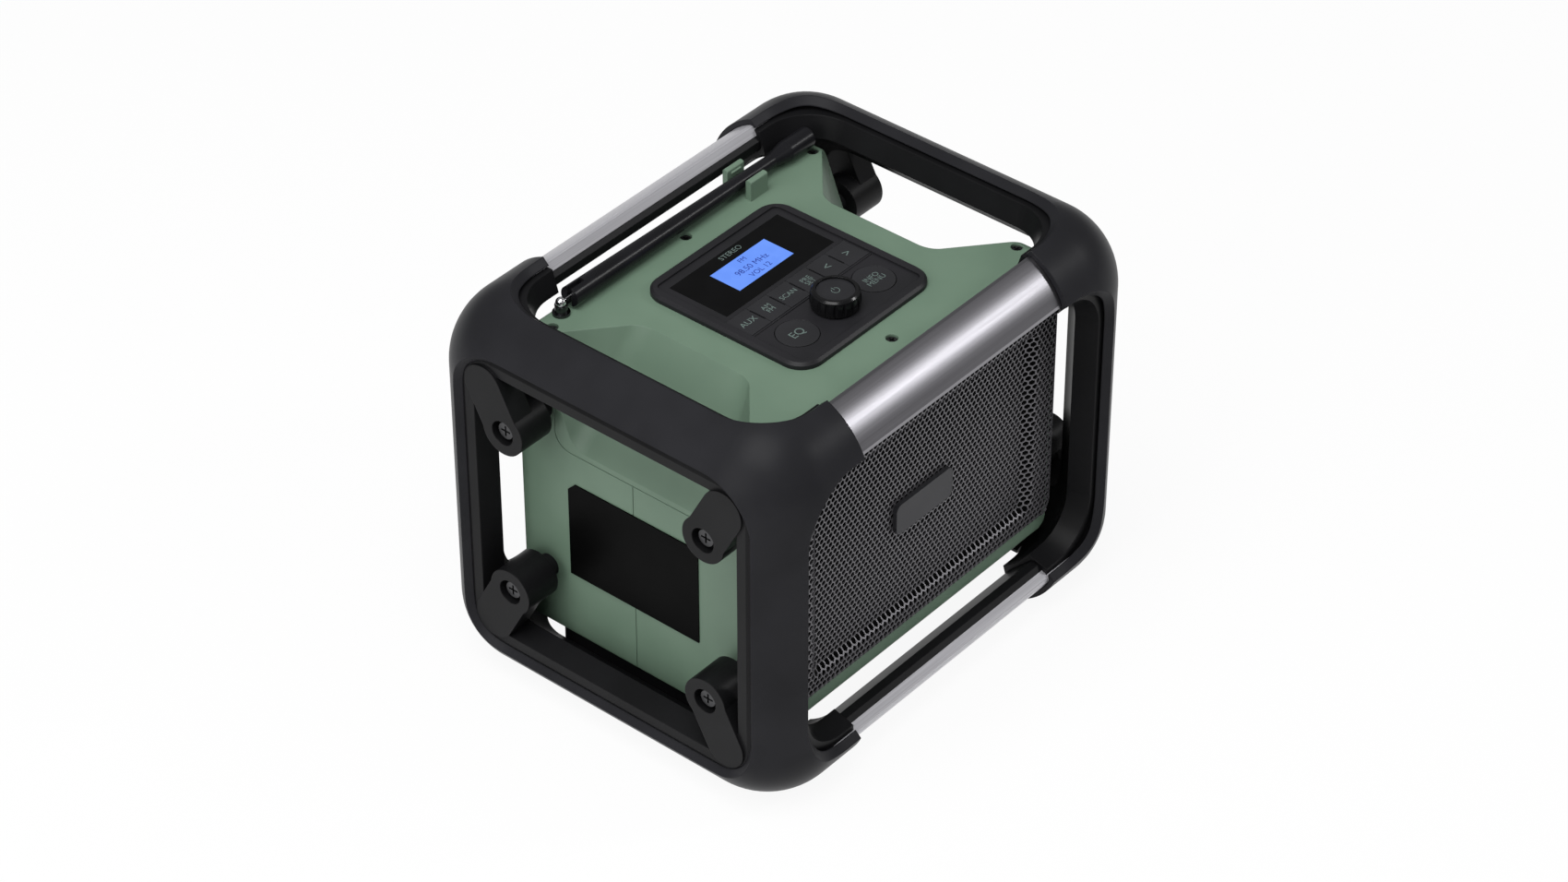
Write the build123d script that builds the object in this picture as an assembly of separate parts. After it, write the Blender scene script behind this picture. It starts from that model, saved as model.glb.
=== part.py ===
"""Jobsite radio: a loudspeaker housing hung inside a roll cage.

Millimetres, +Z up, +X to the right of someone facing the loudspeakers,
which look towards -Y. The origin is on the ground under the middle of the cage.
Every edge of the cage is a slab set at 45 degrees, so its section is drawn in
two directions: across it (along the slab) and out (away from the cage's core).
"""
import os
from math import cos, pi, radians, sin, sqrt, tan

from build123d import *

# Cage
cage_side_gap = 27.0
cage_depth = 185.0
cage_height = 180.0
cage_edge_radius = 35.0
ground_flat = 0.8
bumper_thickness = 3.8
bumper_half_width = 13.4
bumper_side_half_width = 9.2
bumper_overhang = 0.3
frame_inner_out = 18.0
frame_inner_radius = 36.0
frame_inner_half_width = 9.6
frame_ridge_half_width = 13.9
frame_ridge_out = 26.0
frame_neck_half_width = 10.8
window_corner = 27.0
side_window_corner = 20.0
collar_end = 64.0
sill_reach = 8.6
sill_half_length = 58.0
sill_thickness = 1.5
sill_rise = 6.2
sill_root = 10.8

# Bars between the end frames, the upper front one is the handle
bar_half_width = 12.2
bar_radius = 32.5
bar_bevel = 1.2
bar_trim_in = 25.4
bar_core_in = 19.9
bar_core_taper = 2.6
socket_depth = 16.0
socket_clearance = 0.15
seat_gap = 0.3

# Lugs that carry the housing
lug_y = 52.5
lug_rise = 41.0
lug_angle = 62.0
lug_length = 21.0
lug_width = 19.5
lug_reach = 17.5
lug_plate = 10.5
lug_boss_radius = 10.5
lug_pocket_radius = 5.6
lug_pocket_depth = 4.5
bush_thickness = 6.5
bush_radius = 5.0

# Screws
lug_screw_radius = 2.0
lug_screw_head_radius = 3.75
lug_screw_head = 2.6
lug_screw_reach = 12.0
small_screw_radius = 1.4
small_screw_head_radius = 2.3
small_screw_head = 1.6
small_screw_length = 11.0
screw_slack = 0.05
drive_width = 0.9
drive_depth = 1.1

# Housing
housing_length = 179.0
housing_depth = 130.8
housing_bottom = 18.1
housing_top = 164.0
housing_corner = 8.0
housing_foot_corner = 1.0
housing_top_edge = 4.5
wall = 3.0
boss_radius = 5.0
cover_screw_inset = 8.5
cover_screw_setback = 11.4
cover_pocket_radius = 2.6
cover_pocket_depth = 2.6
cover_boss_radius = 4.0
rear_screw_inset = 9.0
rear_screw_top = 111.8
rear_post_start = -8.0
rear_post_radius = 3.5
rear_web = 3.0
nose_depth = 7.4
nose_inset = 7.0
nose_sill = 10.5
nose_top_inset = 5.5
nose_corner = 5.0
cove_radius = 17.0
seam_height = 113.4
seam_flank = 46.5
seam_shoulder = 154.0
seam_corner = 8.0
parting_y = 5.2
parting_gap = 0.3

# Base tray under the housing
tray_inset = 1.5
tray_front = -45.0
tray_back = 48.3
tray_bottom = 8.0
tray_wall = 2.5
tray_corner = 3.0
tray_ribs = 3

# Side scoops under the upper cage members
scoop_inner = 56.5
scoop_edge_height = 116.1
scoop_half_length = 28.0
scoop_flare_out = 0.852
scoop_flare_up = 0.412
scoop_corner = 9.0

# Loudspeaker grille
grille_width = 164.0
grille_bottom = 35.6
grille_top = 146.0
grille_corner = 6.0
grille_sheet = 1.2
grille_border = 11.0
grille_step = 2.5
grille_step_run = 3.5
grille_hole_pitch = 9.0
grille_rib = 1.5
grille_margin = 2.0
badge_width = 36.2
badge_height = 15.0
badge_corner = 3.0
badge_thickness = 2.2
badge_middle = 90.8
baffle_setback = 6.0

# Drivers
driver_spacing = 82.0
driver_flange_radius = 39.0
driver_mouth_radius = 34.0
driver_throat_radius = 29.5
driver_flange = 2.0
driver_depth = 24.0
driver_plate_radius = 23.0
driver_hub_radius = 11.5
magnet_radius = 26.0
magnet_length = 16.0
cone_neck_radius = 10.0
cone_depth = 13.0
cone_skin = 0.8

# Control panel
bezel_width = 83.8
bezel_depth = 86.3
bezel_y = -0.8
bezel_corner = 10.5
bezel_rise = 3.0
bezel_bevel = 1.2
bezel_rim = 4.4
panel_drop = 0.8
panel_clearance = 0.1
panel_corner = 3.0
skirt_width = 76.4
skirt_depth = 78.4
skirt_drop = 3.6
skirt_wall = 2.0
window_width = 67.2
window_front = 3.2
window_back = 33.6
window_thickness = 1.3
window_ledge = 2.4
key_count = 6
key_pitch = 12.3
key_front = -12.5
key_back = 1.0
key_gap = 0.25
key_slot = 0.9
key_slot_front = -9.3
key_slot_back = -1.2
key_travel = 0.8
key_thickness = 2.3
stem_radius = 2.0
button_x = 24.0
button_y = -25.3
button_radius = 8.9
button_gap = 0.3
knob_y = -25.0
knob_radius = 10.5
knob_rim_height = 174.6
knob_belly = 0.5
knob_travel = 0.7
knob_flutes = 18
knob_flute_radius = 0.9
knob_dish_radius = 8.0
knob_dish = 0.8
cap_thickness = 0.6
shaft_radius = 3.0
shaft_slack = 0.06
encoder_width = 12.4
encoder_height = 6.0
encoder_collar_radius = 4.6
encoder_collar = 4.0

# Boards
board_thickness = 1.6
control_board_top = 154.6
control_board_width = 90.0
control_board_depth = 92.0
standoff_radius = 2.6
mat_thickness = 1.2
mat_dome = 1.4
mat_dome_radius = 3.4
main_board_width = 128.0
main_board_depth = 38.0
main_board_y = -16.0
main_board_height = 27.0
converter_gap = 1.0
converter_width = 28.0
converter_depth = 34.0
converter_height = 30.0
converter_y = 36.0

# Antenna
antenna_inset = 17.5
antenna_y = 57.2
antenna_height = 169.6
post_radius = 2.7
post_flange_radius = 3.75
post_flange = 1.2
ball_radius = 2.3
ball_slack = 0.06
link_radius = 0.8
stud_radius = 1.5
whip_gap = 5.0
whip_root_radius = 4.5
whip_end_radius = 2.9
whip_taper_length = 125.0
whip_flare_length = 9.0
tip_length = 15.0
tip_radius = 4.65
whip_slot = 2.4
whip_slot_depth = 8.0
clip_left = 36.0
clip_right = 46.5
clip_height = 173.6
clip_front = 49.5
clip_front_thickness = 3.0
clip_back = 62.3
clip_back_thickness = 2.7

# Battery bay and door in the back
bay_width = 90.0
bay_bottom = 33.0
bay_top = 113.0
bay_floor_y = 18.0
bay_wall = 2.0
door_gap = 0.3
door_thickness = 2.8
door_frame = 8.0
door_recess = 0.8
door_ribs = 6
door_arm = 2.0
hinge_offset = 2.2
hinge_standoff = 2.7
knuckle_radius = 2.4
knuckle_length = 10.0
knuckle_gap = 0.3
hinge_pin_radius = 1.2
hinge_heights = (50.0, 96.0)
terminal_width = 34.0
terminal_height = 24.0
terminal_depth = 12.0
blade_count = 4

# Sockets under a rubber flap beside the door
port_inset = 22.5
port_width = 26.0
port_bottom = 64.0
port_top = 106.0
port_depth = 13.0
flap_margin = 2.4
flap_thickness = 2.2
flap_gap = 0.25
flap_pin_radius = 0.9
flap_ear = 3.0
jack_radius = 4.0
jack_bore = 2.8
jack_pin = 0.9

# Bare rating plate on the left side
label_front = -29.1
label_back = 40.1
label_bottom = 50.7
label_top = 98.3
label_cut = 3.7
label_thickness = 0.6

root2 = sqrt(2)
cage_length = housing_length + 2 * cage_side_gap
edge_rise = sqrt(cage_edge_radius**2 - bumper_half_width**2)
edge_reach = (edge_rise + bumper_half_width) / root2
core_x = cage_length / 2 - edge_reach
core_y = cage_depth / 2 - edge_reach
core_z = (cage_height + ground_flat) / 2 - edge_reach
mid_z = cage_height - edge_reach - core_z
core = (core_x, core_y, core_z)
big = 2 * cage_length
side_x = housing_length / 2
back_y = housing_depth / 2
lug_face = side_x + bush_thickness + lug_reach
cover_screw_x = side_x - cover_screw_inset
cover_screw_y = back_y - cover_screw_setback
port_x = side_x - port_inset
converter_x = bay_width / 2 + bay_wall + converter_gap + converter_width / 2
antenna_x = antenna_inset - side_x
whip_start = antenna_x + whip_gap
whip_flare_start = whip_start + whip_taper_length
tip_start = whip_flare_start + whip_flare_length
tip_end = tip_start + tip_length
front_y = -back_y - nose_depth
baffle_y = front_y + baffle_setback
driver_z = (grille_bottom + grille_top) / 2
panel_z = housing_top + bezel_rise - panel_drop
stem_end = control_board_top + mat_thickness + mat_dome + key_travel + 0.1
pieces = {}


def keep(name, solid):
    """Write one node of the radio."""
    pieces[name] = solid
    export_step(solid, f"parts/{name}.step")


def span(x, y, z):
    """A box between pairs of limits."""
    size = [abs(b - a) for a, b in (x, y, z)]
    middle = [(a + b) / 2 for a, b in (x, y, z)]
    return Pos(*middle) * Box(*size)


def rod(radius, start, end, axis):
    """A cylinder from one point along +X, +Y or +Z to another."""
    turn = {"x": Rot(Y=90), "y": Rot(X=-90), "z": Rot()}[axis]
    length = sum(b - a for a, b in zip(start, end))
    return Pos(*start) * turn * Cylinder(radius, length, align=(Align.CENTER, Align.CENTER, Align.MIN))


def copies(solid, places):
    """Several separate copies of one solid."""
    return Compound(children=[place * solid for place in places])


# ------------------------------------------------------------------ cage


def rounded_block(reach, radius):
    """A block round the cage's core with every edge and corner rounded."""
    block = Box(*[2 * (side + reach) for side in core])
    return fillet(block.edges(), radius)


def section_point(across, out):
    """Where a point of a member's section lies, from the core: sideways and outwards."""
    return (out - across) / root2, (out + across) / root2


def window(face, outline, corner):
    """The opening in one face of the cage, from its section outline (across, out)."""
    along, beside, height = {
        "x": (core_z, core_y, core_x),
        "y": (core_x, core_z, core_y),
        "z": (core_x, core_y, core_z),
    }[face]
    turn = {"x": Rot(Y=90), "y": Rot(X=-90), "z": Rot()}[face]
    lip, _ = section_point(bumper_half_width, edge_rise)
    rings = []
    for point in outline:
        sideways, outwards = section_point(*point)
        ring = RectangleRounded(2 * (along + sideways), 2 * (beside + sideways), corner + sideways - lip)
        rings.append(Pos(0, 0, height + outwards) * ring)
    return turn * loft(rings, ruled=True)


def windows(side_outline, outline):
    """The three openings that meet at one corner of the cage, the side one first."""
    return [
        window("x", side_outline, side_window_corner),
        window("y", outline, window_corner),
        window("z", outline, window_corner),
    ]


def octant():
    """The quarter of one cage end that is modelled and mirrored."""
    return span((collar_end, cage_length), (0, cage_depth), (0, cage_height))


def bar_outline(grow):
    """Section of a bar's metal cover and its core, as (across, out) points."""
    wide = bar_half_width + grow
    radius = bar_radius + grow
    brow = wide - bar_bevel
    brow_out = sqrt(radius**2 - brow**2)
    cover_in = bar_trim_in
    cover = make_face([
        ThreePointArc((-brow, brow_out), (0, radius), (brow, brow_out)),
        Polyline(
            (brow, brow_out), (wide, brow_out - bar_bevel - grow), (brow, cover_in),
            (-brow, cover_in), (-wide, brow_out - bar_bevel - grow), (-brow, brow_out),
        ),
    ])
    low = bar_core_in - grow
    neck = brow - bar_core_taper
    middle = (cover_in + low) / 2
    inner = Polygon(
        (brow, cover_in), (brow, middle), (neck, low), (-neck, low), (-brow, middle), (-brow, cover_in),
        align=None,
    )
    return cover, inner


def edge_plane(side_y, side_z, x=0.0):
    """Section plane of a lengthwise cage edge: across, then out."""
    origin = (x, side_y * core_y, mid_z + side_z * core_z)
    return Plane(origin=origin, x_dir=(0, side_z, -side_y), z_dir=(1, 0, 0))


def bar(section, side_y, side_z, half_length):
    """A length of one section along a cage edge, centred on the cage."""
    return extrude(edge_plane(side_y, side_z) * section, half_length, both=True)


def bumper_octant():
    """Rubber outer skin at one corner of the cage."""
    skin = rounded_block(cage_edge_radius, cage_edge_radius)
    inner = cage_edge_radius - bumper_thickness
    skin = (skin - rounded_block(inner, inner)) & octant()
    side, other = (
        [(half_width, out) for out in (frame_inner_out, cage_edge_radius + 8)]
        for half_width in (bumper_side_half_width, bumper_half_width)
    )
    for cut in windows(side, other):
        skin -= cut
    return skin


def frame_octant():
    """Stiff inner frame at one corner of the cage, with its lug."""
    outer = cage_edge_radius - bumper_thickness
    inner_reach = frame_inner_radius - (frame_inner_radius - frame_inner_out) / root2
    frame = rounded_block(outer, outer) - rounded_block(inner_reach, frame_inner_radius)
    frame &= octant()
    neck_out = sqrt(outer**2 - frame_neck_half_width**2)
    ridge = [(0.0, 0.0), (frame_ridge_half_width, frame_ridge_out)]
    neck = [
        (frame_neck_half_width, neck_out),
        (frame_neck_half_width - 6.0, neck_out + 12.0),
    ]
    flank = [
        (bumper_side_half_width - bumper_overhang, outer),
        (bumper_side_half_width - bumper_overhang - 2.0, outer + 12.0),
    ]
    for cut in windows(ridge + flank, ridge + neck):
        frame -= cut
    return frame + lug()


def sill():
    """Inner lip along the lower member of the right end frame."""
    sideways, outwards = section_point(frame_ridge_half_width, frame_ridge_out)
    low = mid_z - core_z - outwards
    edge_x = core_x + sideways - sill_reach
    outline = Polygon(
        (edge_x, low), (edge_x + sill_reach, low), (edge_x + sill_root, low + 0.3),
        (edge_x + sill_root, low + sill_rise), (edge_x, low + sill_thickness), align=None,
    )
    return extrude(Plane.XZ * outline, sill_half_length, both=True)


def lug():
    """Arm from the frame's corner to the housing's screw."""
    slot = SlotCenterToCenter(lug_length, lug_width, rotation=lug_angle)
    half = lug_length / 2
    centre = (lug_y + half * cos(radians(lug_angle)), lug_rise + half * sin(radians(lug_angle)))
    plate = extrude(Plane.YZ * Pos(*centre) * slot, lug_plate)
    plate = Pos(lug_face - lug_plate, 0, 0) * plate
    boss_start = side_x + bush_thickness
    boss = rod(lug_boss_radius, (boss_start, lug_y, lug_rise), (lug_face, lug_y, lug_rise), "x")
    return plate + boss


def lug_cuts():
    """Screw hole and head pocket of one lug."""
    pocket_start = lug_face - lug_pocket_depth
    hole = rod(lug_screw_radius + screw_slack, (0, lug_y, lug_rise), (cage_length, lug_y, lug_rise), "x")
    pocket = rod(lug_pocket_radius, (pocket_start, lug_y, lug_rise), (cage_length, lug_y, lug_rise), "x")
    return hole + pocket


def four_ways(piece):
    """The four mirror images of a corner piece, joined into one end of the cage."""
    pair = piece + mirror(piece, about=Plane.XZ)
    return Pos(0, 0, mid_z) * (pair + mirror(pair, about=Plane.XY))


def sockets():
    """Room for the bars' ends in one end frame."""
    cover, inner = bar_outline(socket_clearance)
    length = collar_end + socket_depth
    cuts = []
    for side_y in (-1, 1):
        for side_z in (-1, 1):
            cuts.append(bar(cover, side_y, side_z, length) + bar(inner, side_y, side_z, length))
    return cuts


def build_cage():
    """End frames, their bumpers and the four bars."""
    bumper = four_ways(bumper_octant())
    frame = four_ways(frame_octant() - lug_cuts())
    frame += sill()
    bumper -= four_ways(lug_cuts())
    for cut in sockets():
        bumper -= cut
        frame -= cut
    above_ground = span((-big, big), (-big, big), (0, big))
    bumper = (bumper - frame) & above_ground
    keep("bumper_right", bumper)
    keep("bumper_left", mirror(bumper, about=Plane.YZ))
    keep("frame_right", frame)
    keep("frame_left", mirror(frame, about=Plane.YZ))
    cover, inner = bar_outline(0.0)
    half_length = collar_end + socket_depth - seat_gap
    names = {
        (-1, 1): ("carry_handle", "handle_core"),
        (1, 1): ("top_back_bar", "top_back_core"),
        (-1, -1): ("bottom_front_bar", "bottom_front_core"),
        (1, -1): ("bottom_back_bar", "bottom_back_core"),
    }
    for (side_y, side_z), (bar_name, core_name) in names.items():
        keep(bar_name, bar(cover, side_y, side_z, half_length))
        keep(core_name, bar(inner, side_y, side_z, half_length))


# ------------------------------------------------------------------ housing


def front_outline(half_width, low, high, top_corner, low_corner):
    """Outline of the housing seen from the loudspeakers, its lower corners tighter."""
    outline = Polygon((-half_width, low), (half_width, low), (half_width, high), (-half_width, high), align=None)
    upper = [v for v in outline.vertices() if v.Y > mid_z]
    outline = fillet(upper, top_corner)
    lower = [v for v in outline.vertices() if v.Y < low + 1]
    return fillet(lower, low_corner)


def facing(depth):
    """A plane across the housing at one depth, its second axis upwards."""
    return Plane(origin=(0, depth, 0), x_dir=(1, 0, 0), z_dir=(0, -1, 0))


def housing_block():
    """Outer form of the housing with its tapered nose, before the scoops."""
    middle = (housing_top + housing_bottom) / 2
    outline = front_outline(side_x, housing_bottom, housing_top, housing_corner, housing_foot_corner)
    nose_outline = front_outline(
        side_x - nose_inset, housing_bottom + nose_sill, housing_top - nose_top_inset, nose_corner, nose_corner
    )
    body = extrude(facing(-back_y) * outline, -housing_depth)
    nose = loft([facing(-back_y) * outline, facing(front_y) * nose_outline])
    brow = span(
        (-side_x + nose_inset, side_x - nose_inset), (front_y, -back_y + 1), (middle, housing_top)
    )
    block = body + nose + brow
    handle_out = (bar_core_in + bar_radius) / 2 / root2
    cove = rod(cove_radius, (-big, -core_y - handle_out, mid_z + core_z + handle_out),
               (big, -core_y - handle_out, mid_z + core_z + handle_out), "x")
    block -= cove
    edge = housing_top_edge
    slope = Plane.YZ * Polygon(
        (back_y - edge, housing_top + 1), (back_y - edge, housing_top), (back_y, housing_top - edge),
        (back_y + 1, housing_top - edge), (back_y + 1, housing_top + 1), align=None
    )
    return block - extrude(slope, big, both=True)


def scoop(deeper):
    """Room for a hand under an upper cage member on the right, grown by a wall."""
    fall = (housing_top - scoop_edge_height) / (side_x - scoop_inner)
    lean = sqrt(1 + fall**2)
    flank = sqrt(1 + scoop_flare_out**2 + scoop_flare_up**2)
    rings = []
    ceiling = housing_top + 40
    for x in (scoop_inner - 10, side_x + 14):
        floor = housing_top - fall * (x - scoop_inner) - deeper * lean
        low = scoop_half_length + scoop_flare_out * (x - scoop_inner) + deeper * flank
        y_floor = low + scoop_flare_up * (floor - housing_top)
        y_ceiling = low + scoop_flare_up * (ceiling - housing_top)
        ring = Polygon(
            (-y_floor, floor), (y_floor, floor), (y_ceiling, ceiling), (-y_ceiling, ceiling), align=None
        )
        ring = fillet([v for v in ring.vertices() if v.Y < housing_top + 20], scoop_corner + deeper)
        rings.append(Plane(origin=(x, 0, 0), x_dir=(0, 1, 0), z_dir=(1, 0, 0)) * ring)
    return loft(rings, ruled=True)


def scoops(deeper):
    """Both hand scoops."""
    right = scoop(deeper)
    return [right, mirror(right, about=Plane.YZ)]


def front_wall(width, low, high, corner, near, far):
    """A rounded block lying behind the loudspeaker front between two depths."""
    middle = (low + high) / 2
    plane = Plane(origin=(0, near, middle), x_dir=(1, 0, 0), z_dir=(0, 1, 0))
    return extrude(plane * RectangleRounded(width, high - low, corner), far - near)


def cavity():
    """Hollow inside the housing."""
    hollow = span(
        (-side_x + wall, side_x - wall), (baffle_y + wall, back_y - wall),
        (housing_bottom + wall, housing_top - wall),
    )
    edge = housing_top_edge + wall
    slope = Plane.YZ * Polygon(
        (back_y - wall - edge, housing_top), (back_y - wall, housing_top - wall - edge),
        (back_y, housing_top - wall - edge), (back_y, housing_top), align=None
    )
    hollow -= extrude(slope, big, both=True)
    handle_out = (bar_core_in + bar_radius) / 2 / root2
    axis_y = -core_y - handle_out
    axis_z = mid_z + core_z + handle_out
    hollow -= rod(cove_radius + wall, (-big, axis_y, axis_z), (big, axis_y, axis_z), "x")
    for cut in scoops(wall):
        hollow -= cut
    return hollow


def cover_region(clear):
    """Everything above the parting line of the top cover."""
    flank = seam_flank + clear
    low = seam_height - clear
    shoulder = seam_shoulder - clear
    outline = Polygon(
        (-flank, low), (flank, low), (flank, shoulder), (big, shoulder),
        (big, big), (-big, big), (-big, shoulder), (-flank, shoulder), align=None,
    )
    corners = [v for v in outline.vertices() if v.Y < seam_height + 1]
    outline = fillet(corners, seam_corner)
    return extrude(Plane.YZ * outline, big, both=True)


def lug_bosses():
    """Bosses inside the housing that the lug screws bite into."""
    places = [(y, z) for y in (-lug_y, lug_y) for z in (mid_z - lug_rise, mid_z + lug_rise)]
    reach = side_x - lug_screw_reach
    bosses = [rod(boss_radius, (reach, y, z), (side_x - wall + 1, y, z), "x") for y, z in places]
    holes = [rod(lug_screw_radius + screw_slack, (reach - 1, y, z), (side_x + 1, y, z), "x") for y, z in places]
    return both_sides(bosses), both_sides(holes)


def both_sides(solids):
    """Solids on the right and their mirror images on the left."""
    return solids + [mirror(solid, about=Plane.YZ) for solid in solids]


def build_housing():
    """Top cover, front shell and rear shell, parted along their seams."""
    block = housing_block()
    for cut in scoops(0.0):
        block -= cut
    walls = block - cavity()
    bosses, holes = lug_bosses()
    for boss in bosses:
        walls += boss
    for hole in holes:
        walls -= hole
    top = walls & cover_region(0.0)
    lower = walls - cover_region(parting_gap)
    front = lower & span((-big, big), (-big, parting_y - parting_gap / 2), (0, big))
    rear = lower & span((-big, big), (parting_y + parting_gap / 2, big), (0, big))
    keep("top_cover", finish_top_cover(top))
    keep("front_shell", finish_front_shell(front))
    keep("rear_shell", finish_rear_shell(rear))
    keep("lug_bushes", bushes())
    keep("lug_screws", lug_screws())


def build_tray():
    """Black tray under the housing, open towards it, with cross ribs."""
    half = side_x - tray_inset
    tray = span((-half, half), (tray_front, tray_back), (tray_bottom, housing_bottom))
    tray = fillet(tray.edges().filter_by(Axis.Z), tray_corner)
    tray = chamfer(tray.faces().sort_by(Axis.Z)[0].edges(), tray_wall / 2)
    inside = span(
        (-half + tray_wall, half - tray_wall), (tray_front + tray_wall, tray_back - tray_wall),
        (tray_bottom + tray_wall, housing_bottom + 1),
    )
    tray -= inside
    for index in range(tray_ribs):
        x = (index - (tray_ribs - 1) / 2) * half / 2
        tray += span(
            (x - tray_wall / 2, x + tray_wall / 2), (tray_front + 1, tray_back - 1),
            (tray_bottom + 1, housing_bottom - tray_wall),
        )
    keep("base_tray", tray)


def bushes():
    """Rubber bushes between the lugs and the housing."""
    ring = rod(bush_radius, (side_x, 0, 0), (side_x + bush_thickness, 0, 0), "x")
    ring -= rod(lug_screw_radius + screw_slack, (side_x - 1, 0, 0), (side_x + bush_thickness + 1, 0, 0), "x")
    rings = [Pos(0, y, z) * ring for y, z in lug_places()]
    return Compound(children=both_sides(rings))


def lug_places():
    """Where the four lugs of one side meet the housing."""
    return [(y, z) for y in (-lug_y, lug_y) for z in (mid_z - lug_rise, mid_z + lug_rise)]


def screw(shank_radius, head_radius, head, length):
    """A cross-recessed screw standing head up, its head resting at zero."""
    body = Pos(0, 0, -length) * Cylinder(shank_radius, length, align=(Align.CENTER, Align.CENTER, Align.MIN))
    cap = Cylinder(head_radius, head, align=(Align.CENTER, Align.CENTER, Align.MIN))
    cross = Box(head_radius * 1.3, drive_width, drive_depth) + Box(drive_width, head_radius * 1.3, drive_depth)
    return body + cap - Pos(0, 0, head - drive_depth / 2) * cross


def lug_screws():
    """The eight screws that hang the housing in the cage."""
    seat = lug_face - lug_pocket_depth
    reach = side_x - lug_screw_reach
    fastener = screw(lug_screw_radius, lug_screw_head_radius, lug_screw_head, seat - reach - 1)
    right = [Pos(seat, y, z) * Rot(Y=90) * fastener for y, z in lug_places()]
    return Compound(children=both_sides(right))


def cover_screw_places():
    """The six screws through the top cover."""
    return [(x, y) for x in (-cover_screw_x, 0.0, cover_screw_x) for y in (-cover_screw_y, cover_screw_y)]


def finish_top_cover(cover):
    """Panel opening, screw pockets, standoffs, antenna seat and clip."""
    cover -= Pos(0, bezel_y, housing_top) * extrude(
        RectangleRounded(skirt_width + 0.4, skirt_depth + 0.4, panel_corner), 2 * wall, both=True
    )
    pocket_floor = housing_top - cover_pocket_depth
    for x, y in cover_screw_places():
        base = housing_top - small_screw_length - cover_pocket_depth
        cover += rod(cover_boss_radius, (x, y, base), (x, y, housing_top - wall + 1), "z")
        cover -= rod(small_screw_radius + screw_slack, (x, y, base - 1), (x, y, housing_top), "z")
        cover -= rod(cover_pocket_radius, (x, y, pocket_floor), (x, y, housing_top + 1), "z")
    cover -= rod(stud_radius + screw_slack, (antenna_x, antenna_y, housing_top - 3 * wall),
                 (antenna_x, antenna_y, housing_top + 1), "z")
    for x, y in standoff_places():
        cover += rod(standoff_radius, (x, y, control_board_top), (x, y, housing_top - wall + 0.5), "z")
    cover += clip()
    return cover


def standoff_places():
    """Pillars that hold the control board under the cover."""
    x = control_board_width / 2 - standoff_radius
    y = control_board_depth / 2 - standoff_radius
    return [(sx * x, bezel_y + sy * y) for sx in (-1, 1) for sy in (-1, 1)]


def clip():
    """Two prongs that the folded antenna rests between."""
    x = (clip_left, clip_right)
    front = span(x, (clip_front, clip_front + clip_front_thickness), (housing_top - 1, clip_height))
    back = span(x, (clip_back, clip_back + clip_back_thickness), (housing_top - housing_top_edge, clip_height))
    catch = Pos((clip_left + clip_right) / 2, clip_back, clip_height - 2.2) * Rot(Y=90) * Cylinder(0.6, 6.0)
    front = fillet(front.edges().filter_by(Axis.X).sort_by(Axis.Z)[-2:], 1.0)
    back = fillet(back.edges().filter_by(Axis.X).sort_by(Axis.Z)[-2:], 1.0)
    return front + back + catch


def finish_front_shell(shell):
    """Grille rebate, baffle openings for the drivers and board pillars."""
    rest = front_y + grille_sheet
    shell -= front_wall(grille_width + 0.4, grille_bottom - 0.2, grille_top + 0.2, grille_corner, front_y - 5, rest)
    inner = 2 * grille_border
    shell -= front_wall(
        grille_width - inner + 8, grille_bottom + grille_border - 4, grille_top - grille_border + 4,
        grille_corner, rest - 1, baffle_y,
    )
    for x in driver_places():
        shell -= rod(driver_mouth_radius, (x, baffle_y - 2, driver_z), (x, baffle_y + wall + 1, driver_z), "y")
    for x, z in rear_screw_places():
        end = back_y - wall - parting_gap
        post = rod(rear_post_radius, (x, rear_post_start, z), (x, end, z), "y")
        side = x / abs(x)
        web = (z - rear_web, z) if z > mid_z else (z, z + rear_web)
        post += span((x, side * (side_x - wall / 2)), (rear_post_start, parting_y - parting_gap), web)
        post -= rod(small_screw_radius + screw_slack, (x, end - small_screw_length, z), (x, end + 1, z), "y")
        shell += post
    for x in (-main_board_width / 2 + 6, main_board_width / 2 - 6):
        for y in (main_board_y - main_board_depth / 2 + 5, main_board_y + main_board_depth / 2 - 5):
            shell += rod(standoff_radius, (x, y, housing_bottom + wall - 0.5), (x, y, main_board_height), "z")
    return shell


def driver_places():
    """The two loudspeakers' places along the front."""
    return (-driver_spacing / 2, driver_spacing / 2)


def finish_rear_shell(shell):
    """Battery bay, its hinge knuckles, the socket opening and board pillars."""
    outer = span(
        (-bay_width / 2 - bay_wall, bay_width / 2 + bay_wall), (bay_floor_y - bay_wall, back_y - wall / 2),
        (bay_bottom - bay_wall, bay_top + bay_wall),
    )
    inner = span((-bay_width / 2, bay_width / 2), (bay_floor_y, back_y + 5), (bay_bottom, bay_top))
    shell = shell + outer - inner
    for x in (converter_x - converter_width / 2 + 4, converter_x + converter_width / 2 - 4):
        for y in (converter_y - converter_depth / 2 + 4, converter_y + converter_depth / 2 - 4):
            shell += rod(standoff_radius, (x, y, housing_bottom + wall - 0.5), (x, y, main_board_height), "z")
    for height in hinge_heights:
        for side in (-1, 1):
            shell += knuckle(height + side * (knuckle_length * 0.75 + knuckle_gap), knuckle_length / 2, -1)
    half = port_width / 2
    shell -= span((port_x - half, port_x + half), (back_y - 2 * wall, back_y + 1), (port_bottom, port_top))
    for side in (-1, 1):
        shell += flap_ear_at(port_x + side * (flap_half_width() + flap_gap + flap_ear / 2))
    for x, z in rear_screw_places():
        shell -= rod(small_screw_radius + 4 * screw_slack, (x, back_y - 2 * wall, z), (x, back_y + 1, z), "y")
        shell -= rod(cover_pocket_radius, (x, back_y - cover_pocket_depth, z), (x, back_y + 1, z), "y")
    return shell


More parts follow.
